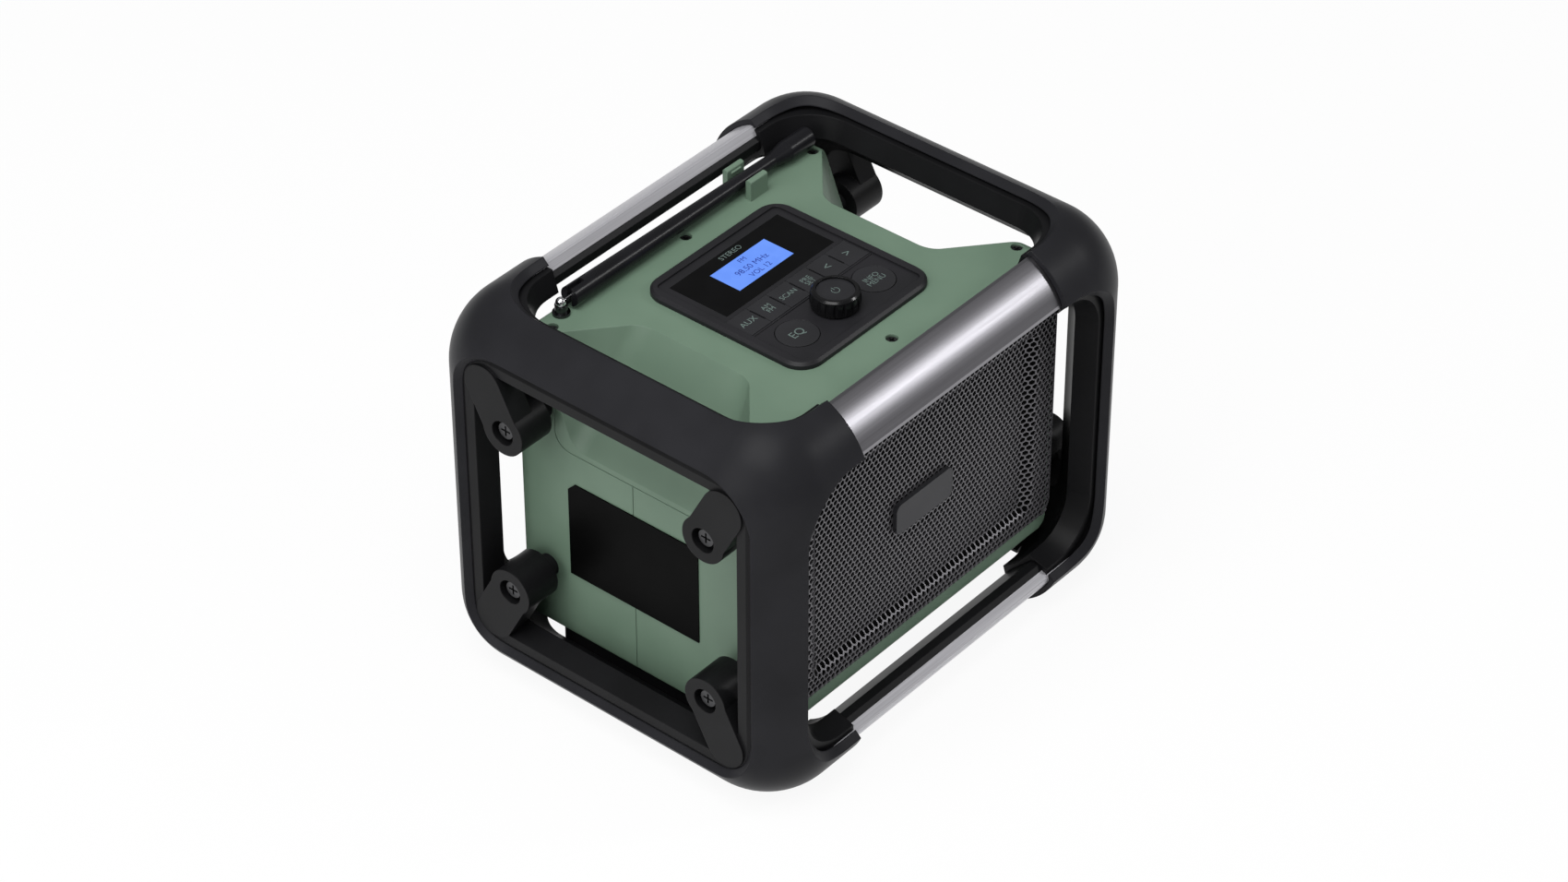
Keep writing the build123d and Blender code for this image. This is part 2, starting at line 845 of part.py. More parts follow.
def rear_screw_places():
    """Screws that pull the two lower shells together from the back."""
    x = side_x - rear_screw_inset
    return [(sx * x, z) for sx in (-1, 1) for z in (housing_bottom + rear_screw_inset, rear_screw_top)]


def hinge_axis():
    """Where the door turns: x and y."""
    return -bay_width / 2 - hinge_offset, back_y + hinge_standoff


def knuckle(height, length, side):
    """One barrel of the door hinge with its web; side -1 joins the shell, 1 the door."""
    x, y = hinge_axis()
    barrel = rod(knuckle_radius, (x, y, height - length / 2), (x, y, height + length / 2), "z")
    level = (height - length / 2, height + length / 2)
    if side < 0:
        web = span((x - knuckle_radius, x), (back_y - 0.5, y), level)
    else:
        web = span((x, -bay_width / 2 + 4), (back_y, back_y + door_arm), level)
    bore = rod(hinge_pin_radius + screw_slack, (x, y, height - length), (x, y, height + length), "z")
    return barrel + web - bore


def build_door():
    """Battery door, its hinge pins and the battery contacts."""
    half = bay_width / 2 - door_gap
    door = span((-half, half), (back_y - door_thickness, back_y), (bay_bottom + door_gap, bay_top - door_gap))
    door = fillet(door.edges().filter_by(Axis.Y), 2.0)
    recess = span(
        (-half + door_frame, half - door_frame), (back_y - door_recess, back_y + 1),
        (bay_bottom + door_frame, bay_top - door_frame),
    )
    recess = fillet(recess.edges().filter_by(Axis.Y), 4.0)
    door -= recess
    rib_top = bay_top - door_frame - 6
    for level in range(door_ribs):
        z = bay_bottom + door_frame + 6 + level * (rib_top - bay_bottom - door_frame - 6) / (door_ribs - 1)
        door += span((-half + 12, half - 20), (back_y - door_recess - 0.2, back_y - 0.2), (z - 1, z + 1))
    for height in hinge_heights:
        door += knuckle(height, knuckle_length, 1)
    grip = Pos(half, back_y, (bay_bottom + bay_top) / 2) * Cylinder(7.0, 3.0, rotation=(90, 0, 0))
    door -= grip
    keep("battery_door", door)
    x, y = hinge_axis()
    length = 2 * knuckle_length + 2 * knuckle_gap - 1
    pins = [rod(hinge_pin_radius, (x, y, h - length / 2), (x, y, h + length / 2), "z") for h in hinge_heights]
    keep("door_hinge_pins", Compound(children=pins))
    block = span(
        (-terminal_width / 2, terminal_width / 2), (bay_floor_y, bay_floor_y + terminal_depth),
        (bay_bottom + 14, bay_bottom + 14 + terminal_height),
    )
    pitch = terminal_width / blade_count
    for index in range(blade_count):
        x = (index - (blade_count - 1) / 2) * pitch
        slot = span(
            (x - 1.6, x + 1.6), (bay_floor_y + 3, bay_floor_y + terminal_depth + 1),
            (bay_bottom + 17, bay_bottom + 11 + terminal_height),
        )
        blade = span(
            (x - 0.5, x + 0.5), (bay_floor_y + 2.5, bay_floor_y + terminal_depth - 1),
            (bay_bottom + 19, bay_bottom + 9 + terminal_height),
        )
        block = block - slot + blade
    keep("battery_terminal", block)
    fastener = screw(small_screw_radius, small_screw_head_radius, small_screw_head, small_screw_length)
    seats = [Pos(x, back_y - cover_pocket_depth, z) * Rot(X=-90) for x, z in rear_screw_places()]
    keep("rear_screws", copies(fastener, seats))


def flap_axis():
    """Where the rubber flap turns: y and z."""
    return back_y + flap_gap + flap_thickness / 2, port_bottom - flap_margin - 1.0


def flap_half_width():
    """Half of the flap's width."""
    return port_width / 2 + flap_margin


def flap_ear_at(x):
    """A small ear that holds one end of the flap's pin."""
    y, z = flap_axis()
    block = span((x - flap_ear / 2, x + flap_ear / 2), (back_y - 0.5, y), (z - 1.8, z + 1.8))
    ear = block + rod(1.8, (x - flap_ear / 2, y, z), (x + flap_ear / 2, y, z), "x")
    return ear - rod(flap_pin_radius + screw_slack, (x - flap_ear, y, z), (x + flap_ear, y, z), "x")


def build_ports():
    """Socket block, power jack and the rubber flap over them."""
    half = port_width / 2 - 0.2
    front = back_y - 1.2
    block = span((port_x - half, port_x + half), (back_y - port_depth, front), (port_bottom + 0.2, port_top - 0.2))
    usb = [(port_top - 9, 13.0, 5.6), (port_top - 18, 9.2, 3.4)]
    for z, width, height in usb:
        block -= span((port_x - width / 2, port_x + width / 2), (front - 9, front + 1), (z - height / 2, z + height / 2))
    audio_z = port_bottom + 15.5
    block -= rod(1.9, (port_x, front - 9, audio_z), (port_x, front + 1, audio_z), "y")
    jack_z = port_bottom + 6.5
    block -= rod(jack_radius + 0.1, (port_x, front - 10, jack_z), (port_x, front + 1, jack_z), "y")
    keep("socket_block", block)
    jack = rod(jack_radius, (port_x, front - 10, jack_z), (port_x, front, jack_z), "y")
    jack -= rod(jack_bore, (port_x, front - 8, jack_z), (port_x, front + 1, jack_z), "y")
    jack += rod(jack_pin, (port_x, front - 8.5, jack_z), (port_x, front - 1, jack_z), "y")
    keep("power_jack", jack)
    y, z = flap_axis()
    wide = flap_half_width()
    inner = back_y + flap_gap
    flap = span((port_x - wide, port_x + wide), (inner, inner + flap_thickness), (z, port_top + flap_margin))
    flap = fillet(flap.edges().filter_by(Axis.Y).sort_by(Axis.Z)[-2:], 3.0)
    flap += rod(flap_thickness / 2, (port_x - wide, y, z), (port_x + wide, y, z), "x")
    reach = wide + flap_gap + flap_ear
    flap += rod(flap_pin_radius, (port_x - reach, y, z), (port_x + reach, y, z), "x")
    keep("socket_flap", flap)


# ------------------------------------------------------------------ loudspeakers


def revolved(points):
    """A turned piece from (radius, depth) points, its axis along +Z."""
    return revolve(Plane.XZ * Polygon(*points, align=None), Axis.Z)


def into_box(solid, x):
    """Set a turned piece behind the baffle, its depth running backwards."""
    return Pos(x, baffle_y + wall, driver_z) * Rot(X=-90) * solid


def driver_basket():
    """Pressed basket with its flange and windows."""
    flange, deep, skin = driver_flange, driver_depth, 1.5
    rim, plate = driver_flange_radius, driver_plate_radius
    basket = revolved([
        (driver_throat_radius, 0), (rim, 0), (rim, flange), (rim - 2.5, flange),
        (plate + skin, deep + skin), (driver_hub_radius, deep + skin), (driver_hub_radius, deep),
        (plate, deep), (rim - 4.5, flange), (driver_throat_radius, flange),
    ])
    opening = Pos(rim - 5, 0, deep * 0.55) * Box(24, 15, deep * 0.5)
    for turn in range(6):
        basket -= Rot(Z=60 * turn + 30) * opening
    return basket


def driver_cone():
    """Cone with its half-roll surround, dust cap and coil former."""
    lip, throat, neck, skin = driver_mouth_radius - 0.4, driver_throat_radius, cone_neck_radius, cone_skin
    roll = throat - 4
    return revolved([
        (lip, -skin), (throat, -skin), (throat - 1, -2.2), (roll + 1, -2.2), (roll, -skin),
        (neck, cone_depth - skin), (neck * 0.7, cone_depth - 2.4), (0, cone_depth - 3.2),
        (0, cone_depth - 2.4), (neck * 0.7, cone_depth - 1.6), (neck - skin, cone_depth),
        (neck - skin, driver_depth + 5), (neck, driver_depth + 5), (neck, cone_depth + 0.2),
        (roll + 0.3, 0.2), (roll + 1.4, -1.3), (throat - 1.3, -1.3), (throat - 0.2, 0), (lip, 0),
    ])


def driver_magnet():
    """Ring magnet with its pole piece inside the coil former."""
    start = driver_depth + 1.5
    gap_out, gap_in = cone_neck_radius + 0.6, cone_neck_radius - cone_skin - 0.4
    return revolved([
        (gap_out, start), (magnet_radius, start), (magnet_radius, start + magnet_length),
        (0, start + magnet_length), (0, start - 1.5), (gap_in, start - 1.5),
        (gap_in, start + magnet_length / 2), (gap_out, start + magnet_length / 2),
    ])


def build_drivers():
    """Both loudspeaker drivers."""
    for side, x in zip(("left", "right"), driver_places()):
        keep(f"speaker_basket_{side}", into_box(driver_basket(), x))
        keep(f"speaker_cone_{side}", into_box(driver_cone(), x))
        keep(f"speaker_magnet_{side}", into_box(driver_magnet(), x))


def dish(inset_near, inset_far, near, far):
    """A tapering block set into the grille's face."""
    middle = (grille_bottom + grille_top) / 2
    height = grille_top - grille_bottom
    rings = []
    for inset, depth in ((inset_near, near), (inset_far, far)):
        plane = Plane(origin=(0, front_y + depth, middle), x_dir=(1, 0, 0), z_dir=(0, 1, 0))
        rings.append(plane * RectangleRounded(grille_width - 2 * inset, height - 2 * inset, grille_corner))
    return loft(rings, ruled=True)


def hex_holes(plane, places, flat):
    """Six-sided holes with their points up, at (x, z) places."""
    hole = RegularPolygon(flat / 2, 6, major_radius=False, rotation=30)
    return [extrude(plane * Pos(x, z - driver_z) * hole, 4 * grille_step, both=True) for x, z in places]


def field_places():
    """Hole centres over the sunken field, clear of the badge."""
    reach_x = grille_width / 2 - grille_border - grille_step_run - grille_margin - grille_hole_pitch / 2
    reach_z = (grille_top - grille_bottom) / 2 - grille_border - grille_step_run - grille_margin
    reach_z -= grille_hole_pitch / 2
    row_pitch = grille_hole_pitch * sqrt(3) / 2
    rows = int(reach_z / row_pitch)
    columns = int(reach_x / grille_hole_pitch)
    places = []
    for row in range(-rows, rows + 1):
        shift = grille_hole_pitch / 2 if row % 2 else 0.0
        for column in range(-columns - 1, columns + 1):
            x = column * grille_hole_pitch + shift
            z = driver_z + row * row_pitch
            on_badge = abs(x) < badge_width / 2 + 2 and abs(z - badge_middle) < badge_height / 2 + 2
            if abs(x) <= reach_x and not on_badge:
                places.append((x, z))
    return places


def border_places():
    """Hole centres round the flat border."""
    centre = grille_border / 2
    half_x = grille_width / 2 - centre
    half_z = (grille_top - grille_bottom) / 2 - centre
    across = int((2 * half_x - 2 * centre) / grille_hole_pitch)
    upright = int((2 * half_z - 2 * centre) / grille_hole_pitch)
    row = [(index - across / 2) * grille_hole_pitch for index in range(across + 1)]
    column = [(index - upright / 2) * grille_hole_pitch for index in range(upright + 1)]
    places = [(x, driver_z + side * half_z) for x in row for side in (-1, 1)]
    return places + [(side * half_x, driver_z + z) for z in column for side in (-1, 1)]


def build_front():
    """Perforated steel grille and the bare badge plate on it."""
    sheet = front_wall(grille_width, grille_bottom, grille_top, grille_corner, front_y, front_y + grille_sheet)
    run = grille_border + grille_step_run
    lip = grille_sheet / 2
    sheet += dish(grille_border - lip, run - lip, 0, grille_step + grille_sheet)
    sheet -= dish(grille_border, run, 0, grille_step)
    plane = Plane(origin=(0, front_y, driver_z), x_dir=(1, 0, 0), z_dir=(0, 1, 0))
    mirrored = [(x, 2 * driver_z - z) for x, z in field_places()]
    sheet = sheet - hex_holes(plane, mirrored, grille_hole_pitch - grille_rib)
    sheet = sheet - hex_holes(plane, border_places(), grille_hole_pitch - 2 * grille_rib)
    keep("grille", sheet)
    face = front_y + grille_step
    badge = front_wall(
        badge_width, badge_middle - badge_height / 2, badge_middle + badge_height / 2, badge_corner,
        face - badge_thickness, face,
    )
    keep("badge_plate", badge)
    corners = [
        (label_front, label_bottom), (label_back, label_bottom), (label_back, label_top - label_cut),
        (label_back - label_cut, label_top), (label_front, label_top),
    ]
    plate = extrude(Plane.YZ * Polygon(*corners, align=None), -label_thickness)
    keep("label_plate", Pos(-side_x, 0, 0) * plate)


# ------------------------------------------------------------------ control panel


def key_places():
    """Middles of the six keys along the row."""
    return [(index - (key_count - 1) / 2) * key_pitch for index in range(key_count)]


def stem(x, y):
    """The plunger under a key, ending just above its dome."""
    return rod(stem_radius, (x, y, stem_end), (x, y, housing_top + 0.1), "z")


def build_panel():
    """Bezel, window, display, keys, buttons and the knob."""
    keep("control_bezel", bezel())
    keep("control_panel", panel())
    window_floor = panel_z - window_thickness
    glass = span((-window_width / 2, window_width / 2), (window_front, window_back), (window_floor, panel_z))
    keep("display_window", glass)
    half = window_width / 2 - window_ledge - 0.5
    front, back = window_front + window_ledge + 0.5, window_back - window_ledge - 0.5
    display = span((-half, half), (front, back), (control_board_top, window_floor - 0.3))
    keep("lcd_module", display)
    top = housing_top + key_thickness
    middle = (key_front + key_back) / 2
    for index, x in enumerate(key_places(), start=1):
        wide = key_pitch / 2 - key_gap / 2
        cap = span((x - wide, x + wide), (key_front, key_back), (housing_top, top))
        notch = (key_slot - key_gap) / 2
        for side in (-1, 1):
            if 1 < index < key_count or side * x < 0:
                edge = x + side * wide
                cap -= span((edge - notch, edge + notch), (key_slot_front, key_slot_back), (0, big))
        keep(f"key_{index}", cap + stem(x, middle))
    for side, x in (("left", -button_x), ("right", button_x)):
        cap = rod(button_radius, (x, button_y, housing_top), (x, button_y, top), "z")
        keep(f"button_{side}", cap + stem(x, button_y))
    build_knob()


def bezel():
    """Raised rim round the panel."""
    middle = Pos(0, bezel_y, housing_top)
    rim = extrude(middle * RectangleRounded(bezel_width, bezel_depth, bezel_corner), bezel_rise)
    rim = chamfer(rim.faces().sort_by(Axis.Z)[-1].edges(), bezel_bevel)
    opening = RectangleRounded(bezel_width - 2 * bezel_rim, bezel_depth - 2 * bezel_rim, panel_corner)
    return rim - extrude(middle * opening, 2 * bezel_rise, both=True)


def panel():
    """Flat plate inside the rim, with its openings and a skirt into the cover."""
    middle = Pos(0, bezel_y, housing_top)
    inner = 2 * (bezel_rim + panel_clearance)
    outline = RectangleRounded(bezel_width - inner, bezel_depth - inner, panel_corner)
    plate = extrude(middle * outline, panel_z - housing_top)
    skirt = RectangleRounded(skirt_width, skirt_depth, panel_corner)
    skirt -= RectangleRounded(skirt_width - 2 * skirt_wall, skirt_depth - 2 * skirt_wall, panel_corner - 1)
    plate += extrude(middle * skirt, -skirt_drop)
    wide = window_width / 2
    plate -= span((-wide, wide), (window_front, window_back), (panel_z - window_thickness, big))
    ledge = window_ledge
    plate -= span((-wide + ledge, wide - ledge), (window_front + ledge, window_back - ledge), (0, big))
    row = key_count * key_pitch / 2 + 0.1
    plate -= span((-row, row), (key_front - 0.2, key_back + 0.2), (0, big))
    plate -= span((-row, row), (key_front - 1.5, key_front - 1.0), (panel_z - 0.4, big))
    for x in (-button_x, button_x):
        plate -= rod(button_radius + button_gap, (x, button_y, 0), (x, button_y, big), "z")
    plate -= rod(encoder_collar_radius + 0.4, (0, knob_y, 0), (0, knob_y, big), "z")
    return plate


def barrel(low, high):
    """The knob's turned body, widest at half height, its rim rounded."""
    waist = knob_radius - knob_belly
    outline = make_face([
        ThreePointArc((waist, low), (knob_radius, (low + high) / 2), (waist, high - 0.8)),
        Polyline((waist, high - 0.8), (waist - 0.8, high), (0, high), (0, low), (waist, low)),
    ])
    return revolve(Plane.XZ * outline, Axis.Z)


def build_knob():
    """Encoder, its sprung shaft, the fluted knob and its cap."""
    base = control_board_top
    half = encoder_width / 2
    encoder = span((-half, half), (knob_y - half, knob_y + half), (base, base + encoder_height))
    collar_top = base + encoder_height + encoder_collar
    encoder += rod(encoder_collar_radius, (0, knob_y, base), (0, knob_y, collar_top), "z")
    bore = shaft_radius + shaft_slack
    encoder -= rod(bore, (0, knob_y, base + 0.6), (0, knob_y, big), "z")
    keep("encoder", encoder)
    cap_floor = knob_rim_height - knob_dish - cap_thickness
    shaft_top = cap_floor - 1.2
    shaft = rod(shaft_radius, (0, knob_y, base + 0.7 + knob_travel), (0, knob_y, shaft_top), "z")
    keep("encoder_shaft", shaft)
    low = panel_z + knob_travel + 0.2
    knob = Pos(0, knob_y, 0) * barrel(low, knob_rim_height)
    for index in range(knob_flutes):
        angle = 2 * pi * index / knob_flutes
        x, y = knob_radius * 1.03 * cos(angle), knob_y + knob_radius * 1.03 * sin(angle)
        knob -= rod(knob_flute_radius, (x, y, low - 1), (x, y, knob_rim_height - 1.2), "z")
    knob -= rod(bore, (0, knob_y, low - 1), (0, knob_y, shaft_top + 0.1), "z")
    knob -= rod(knob_dish_radius, (0, knob_y, cap_floor), (0, knob_y, big), "z")
    keep("volume_knob", knob)
    cap = rod(knob_dish_radius - 0.1, (0, knob_y, cap_floor), (0, knob_y, cap_floor + cap_thickness), "z")
    keep("knob_cap", cap)


# ------------------------------------------------------------------ boards


def build_boards():
    """Control board with its key mat, main board, heat sink and power converter."""
    low = control_board_top - board_thickness
    half_x, half_y = control_board_width / 2, control_board_depth / 2
    board = span((-half_x, half_x), (bezel_y - half_y, bezel_y + half_y), (low, control_board_top))
    board += span((-30, -8), (-30, -8), (low - 2.2, low)) + span((10, 22), (-4, 6), (low - 1.6, low))
    board += span((14, 32), (16, 28), (low - 6, low))
    keep("control_board", board)
    mat_top = control_board_top + mat_thickness
    mat = span((-37, 37), (-36, 2.4), (control_board_top, mat_top))
    clear = encoder_width / 2 + 0.5
    mat -= span((-clear, clear), (knob_y - clear, knob_y + clear), (0, big))
    places = [(x, (key_front + key_back) / 2) for x in key_places()]
    places += [(-button_x, button_y), (button_x, button_y)]
    for x, y in places:
        mat += rod(mat_dome_radius, (x, y, control_board_top), (x, y, mat_top + mat_dome), "z")
    keep("key_mat", mat)
    build_main_board()
    build_converter()


def build_main_board():
    """Amplifier and tuner board low in the front shell."""
    half_x, half_y = main_board_width / 2, main_board_depth / 2
    top = main_board_height + board_thickness
    y = (main_board_y - half_y, main_board_y + half_y)
    board = span((-half_x, half_x), y, (main_board_height, top))
    for x in (-52, -40, -28):
        board += rod(5, (x, main_board_y + 6, top), (x, main_board_y + 6, top + 14), "z")
    board += span((20, 46), (main_board_y - 10, main_board_y + 12), (top, top + 3.2))
    board += span((50, 60), (main_board_y - 14, main_board_y + 14), (top, top + 8))
    keep("main_board", board)
    base = span((-16, 16), (main_board_y - 12, main_board_y + 12), (top, top + 3))
    for index in range(7):
        x = -15 + 5 * index
        base += span((x - 0.8, x + 0.8), (main_board_y - 12, main_board_y + 12), (top + 3, top + 16))
    keep("heat_sink", base)


def build_converter():
    """Power converter beside the battery bay."""
    half_x, half_y = converter_width / 2, converter_depth / 2
    top = main_board_height + board_thickness
    x = (converter_x - half_x, converter_x + half_x)
    y = (converter_y - half_y, converter_y + half_y)
    board = span(x, y, (main_board_height, top))
    board += span((x[0] + 3, x[1] - 3), (y[0] + 3, y[0] + 21), (top, top + converter_height - 8))
    board += rod(5, (converter_x - 6, y[1] - 7, top), (converter_x - 6, y[1] - 7, top + 16), "z")
    board += rod(4, (converter_x + 6, y[1] - 6, top), (converter_x + 6, y[1] - 6, top + 12), "z")
    keep("power_converter", board)


# ------------------------------------------------------------------ antenna


def ball_link(length):
    """Ball with its thin rod, turned about X from the ball's centre."""
    neck = sqrt(ball_radius**2 - link_radius**2)
    half = make_face([
        ThreePointArc((-ball_radius, 0), (0, ball_radius), (neck, link_radius)),
        Polyline((neck, link_radius), (length, link_radius), (length, 0), (-ball_radius, 0)),
    ])
    return revolve(half, Axis.X)


def build_antenna():
    """Post, link, rubber whip and its tip, folded down along the back edge."""
    at = (antenna_x, antenna_y)
    post = rod(post_flange_radius, (*at, housing_top), (*at, housing_top + post_flange), "z")
    post += rod(post_radius, (*at, housing_top), (*at, antenna_height - link_radius - 0.2), "z")
    post += rod(stud_radius, (*at, housing_top - 2 * wall), (*at, housing_top), "z")
    post -= Pos(*at, antenna_height) * Sphere(ball_radius + ball_slack)
    keep("antenna_post", post)
    slot_end = whip_start + whip_slot_depth
    keep("antenna_link", Pos(*at, antenna_height) * ball_link(slot_end + 4 - antenna_x))
    outline = [
        (0, whip_start), (whip_root_radius, whip_start), (whip_end_radius, whip_flare_start),
        (tip_radius, tip_start), (0, tip_start),
    ]
    turn = Pos(0, antenna_y, antenna_height) * Rot(Y=90)
    whip = turn * revolved(outline)
    whip -= span(
        (whip_start - 1, slot_end), (antenna_y - whip_slot / 2, antenna_y + whip_slot / 2), (0, big)
    )
    whip -= rod(
        link_radius + screw_slack, (slot_end - 1, antenna_y, antenna_height),
        (slot_end + 4, antenna_y, antenna_height), "x",
    )
    keep("antenna_whip", whip)
    tip = rod(tip_radius, (tip_start, antenna_y, antenna_height), (tip_end, antenna_y, antenna_height), "x")
    keep("antenna_tip", fillet(tip.edges().sort_by(Axis.X)[-1], 1.2))


def cover_screws():
    """The six screws in the top cover."""
    fastener = screw(small_screw_radius, small_screw_head_radius, small_screw_head, small_screw_length - 0.5)
    seats = [Pos(x, y, housing_top - cover_pocket_depth) for x, y in cover_screw_places()]
    return copies(fastener, seats)


os.makedirs("parts", exist_ok=True)
build_cage()
build_housing()
build_tray()
keep("cover_screws", cover_screws())
build_door()
build_ports()
build_drivers()
build_front()
build_panel()
build_boards()
build_antenna()
print(len(pieces), "nodes")
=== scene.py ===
"""Looks of a jobsite radio: finishes, grille mesh, legends, lamps and camera."""
import logging
import math
from dataclasses import dataclass, field
from enum import Enum
from functools import cache

import bmesh
import bpy
from mathutils import Matrix, Vector


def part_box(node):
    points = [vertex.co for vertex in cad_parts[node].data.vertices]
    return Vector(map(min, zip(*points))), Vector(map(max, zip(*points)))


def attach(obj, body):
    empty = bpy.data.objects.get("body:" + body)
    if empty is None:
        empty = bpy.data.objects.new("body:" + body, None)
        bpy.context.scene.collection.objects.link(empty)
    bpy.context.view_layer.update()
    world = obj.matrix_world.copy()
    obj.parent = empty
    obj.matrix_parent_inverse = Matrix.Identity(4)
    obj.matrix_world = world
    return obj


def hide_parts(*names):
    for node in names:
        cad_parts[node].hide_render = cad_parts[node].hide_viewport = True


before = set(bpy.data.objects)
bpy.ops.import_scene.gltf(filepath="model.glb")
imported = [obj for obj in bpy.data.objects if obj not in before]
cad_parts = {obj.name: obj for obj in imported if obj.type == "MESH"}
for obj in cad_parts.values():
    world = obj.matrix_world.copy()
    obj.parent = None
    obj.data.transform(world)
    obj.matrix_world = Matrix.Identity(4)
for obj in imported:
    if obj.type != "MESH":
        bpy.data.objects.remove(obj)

log = logging.getLogger("jobsite_radio")
MM = 0.001
WHITE = (1, 1, 1, 1)
INK = 0.02 * MM
CAPITAL_SHARE = 0.7
LINE_SPACING = 0.8
SOFT_DETAIL = 2.0
FINE_DETAIL = 3.0
Colour = tuple[float, float, float]
Place = tuple[float, float, float]
Span = tuple[float, float]


# ------------------------------------------------------------------ shader maths


class Wire:
    """One output socket of a shader node, with arithmetic that adds Math nodes."""

    def __init__(self, graph: "Graph", socket: bpy.types.NodeSocket) -> None:
        """Hold the socket and the graph that it belongs to."""
        self.graph = graph
        self.socket = socket

    def _maths(self, operation: str, *values: "Wire | float") -> "Wire":
        """Add a Math node that works on the values in order."""
        settings = {"operation": operation}
        return self.graph.node("ShaderNodeMath", settings, dict(enumerate(values)))

    def __add__(self, other: "Wire | float") -> "Wire":
        """Add."""
        return self._maths("ADD", self, other)

    def __radd__(self, other: float) -> "Wire":
        """Add to a number."""
        return self._maths("ADD", other, self)

    def __sub__(self, other: "Wire | float") -> "Wire":
        """Subtract."""
        return self._maths("SUBTRACT", self, other)

    def __rsub__(self, other: float) -> "Wire":
        """Subtract from a number."""
        return self._maths("SUBTRACT", other, self)

    def __mul__(self, other: "Wire | float") -> "Wire":
        """Multiply."""
        return self._maths("MULTIPLY", self, other)

    def __rmul__(self, other: float) -> "Wire":
        """Multiply a number."""
        return self._maths("MULTIPLY", other, self)

    def ramp(self, low: float, high: float) -> "Wire":
        """Map a stretch of values smoothly onto 0 to 1, and hold it beyond its ends.

        Args:
            low: the value that becomes 0.
            high: the value that becomes 1.

        Returns:
            The mapped value.
        """
        settings = {"interpolation_type": "SMOOTHSTEP"}
        inputs = {"Value": self, "From Min": low, "From Max": high}
        return self.graph.node("ShaderNodeMapRange", settings, inputs)

    def about(self, middle: float, swing: float) -> "Wire":
        """Turn a value of 0 to 1 into one that swings to both sides of a number.

        Args:
            middle: the number.
            swing: how far the result lies from it at 0 and at 1.

        Returns:
            The result.
        """
        return middle + 2 * swing * (self - 0.5)

    def tint(self, dark: Colour, light: Colour) -> "Wire":
        """Blend two colours by this value.

        Args:
            dark: the colour at 0.
            light: the colour at 1.

        Returns:
            The blended colour.
        """
        inputs = {0: self, 6: (*dark, 1), 7: (*light, 1)}
        return self.graph.node("ShaderNodeMix", {"data_type": "RGBA"}, inputs, 2)


class Graph:
    """The node tree of one material, built by expressions."""

    BEVEL_SAMPLES = 6

    def __init__(self, name: str) -> None:
        """Start an empty material.

        Args:
            name: the material's name.
        """
        self.material = bpy.data.materials.new(name)
        self.material.use_nodes = True
        self.tree = self.material.node_tree
        self.tree.nodes.clear()

    def add(
        self, kind: str, settings: dict[str, object] | None = None,
        inputs: dict[int | str, object] | None = None,
    ) -> bpy.types.Node:
        """Add any node, with its settings made before its sockets are filled.

        Args:
            kind: the node's type name.
            settings: attributes of the node.
            inputs: values or wires by socket number or name.

        Returns:
            The node.
        """
        made = self.tree.nodes.new(kind)
        for name, value in (settings or {}).items():
            setattr(made, name, value)
        for key, value in (inputs or {}).items():
            if isinstance(value, Wire):
                self.tree.links.new(value.socket, made.inputs[key])
            else:
                made.inputs[key].default_value = value
        return made

    def node(
        self, kind: str, settings: dict[str, object] | None = None,
        inputs: dict[int | str, object] | None = None, output: int | str = 0,
    ) -> Wire:
        """Add a node and give one of its outputs.

        Args:
            kind: the node's type name.
            settings: attributes of the node.
            inputs: values or wires by socket number or name.
            output: the output that is wanted.

        Returns:
            The wanted output.
        """
        return Wire(self, self.add(kind, settings, inputs).outputs[output])

    def place(self) -> Wire:
        """Give the point on the object, in metres."""
        return self.node("ShaderNodeTexCoord", output="Object")

    def stretched(self, x: float, y: float, z: float) -> Wire:
        """Give the point on the object, scaled along X, Y and Z."""
        return self.node("ShaderNodeMapping", inputs={"Vector": self.place(), "Scale": (x, y, z)})

    def noise(self, where: Wire, scale: float, detail: float) -> Wire:
        """Give a cloudy value between 0 and 1.

        Args:
            where: the point to read.
            scale: how many features there are to one unit of it.
            detail: how many finer layers it has.

        Returns:
            The noise.
        """
        inputs = {"Vector": where, "Scale": scale, "Detail": detail}
        return self.node("ShaderNodeTexNoise", inputs=inputs)

    def cloud(self, across: float, detail: float) -> Wire:
        """Give noise on the object, with features of so many millimetres across."""
        return self.noise(self.place(), 1.0 / (across * MM), detail)

    def bump(self, height: Wire, depth: float, strength: float, rounded: float = 0.0) -> Wire:
        """Turn a height into a surface normal.

        Args:
            height: the height, 0 to 1.
            depth: how far 1 stands above 0, in millimetres.
            strength: how much of it is used.
            rounded: the radius that sharp edges are softened by, in millimetres.

        Returns:
            The normal.
        """
        inputs = {"Height": height, "Distance": depth * MM, "Strength": strength}
        if rounded:
            settings = {"samples": self.BEVEL_SAMPLES}
            inputs["Normal"] = self.node("ShaderNodeBevel", settings, {"Radius": rounded * MM})
        return self.node("ShaderNodeBump", inputs=inputs)

    def surface(self, **inputs: object) -> bpy.types.Material:
        """Close the graph with a Principled surface.

        Args:
            inputs: socket values or wires, their names with underscores for spaces.

        Returns:
            The finished material.
        """
        named = {name.replace("_", " "): value for name, value in inputs.items()}
        return self.close(self.node("ShaderNodeBsdfPrincipled", inputs=named))

    def close(self, shader: Wire) -> bpy.types.Material:
        """Send a shader to the material's surface and give the material."""
        self.add("ShaderNodeOutputMaterial", inputs={"Surface": shader})
        return self.material


# ------------------------------------------------------------------ finishes (lengths in mm)


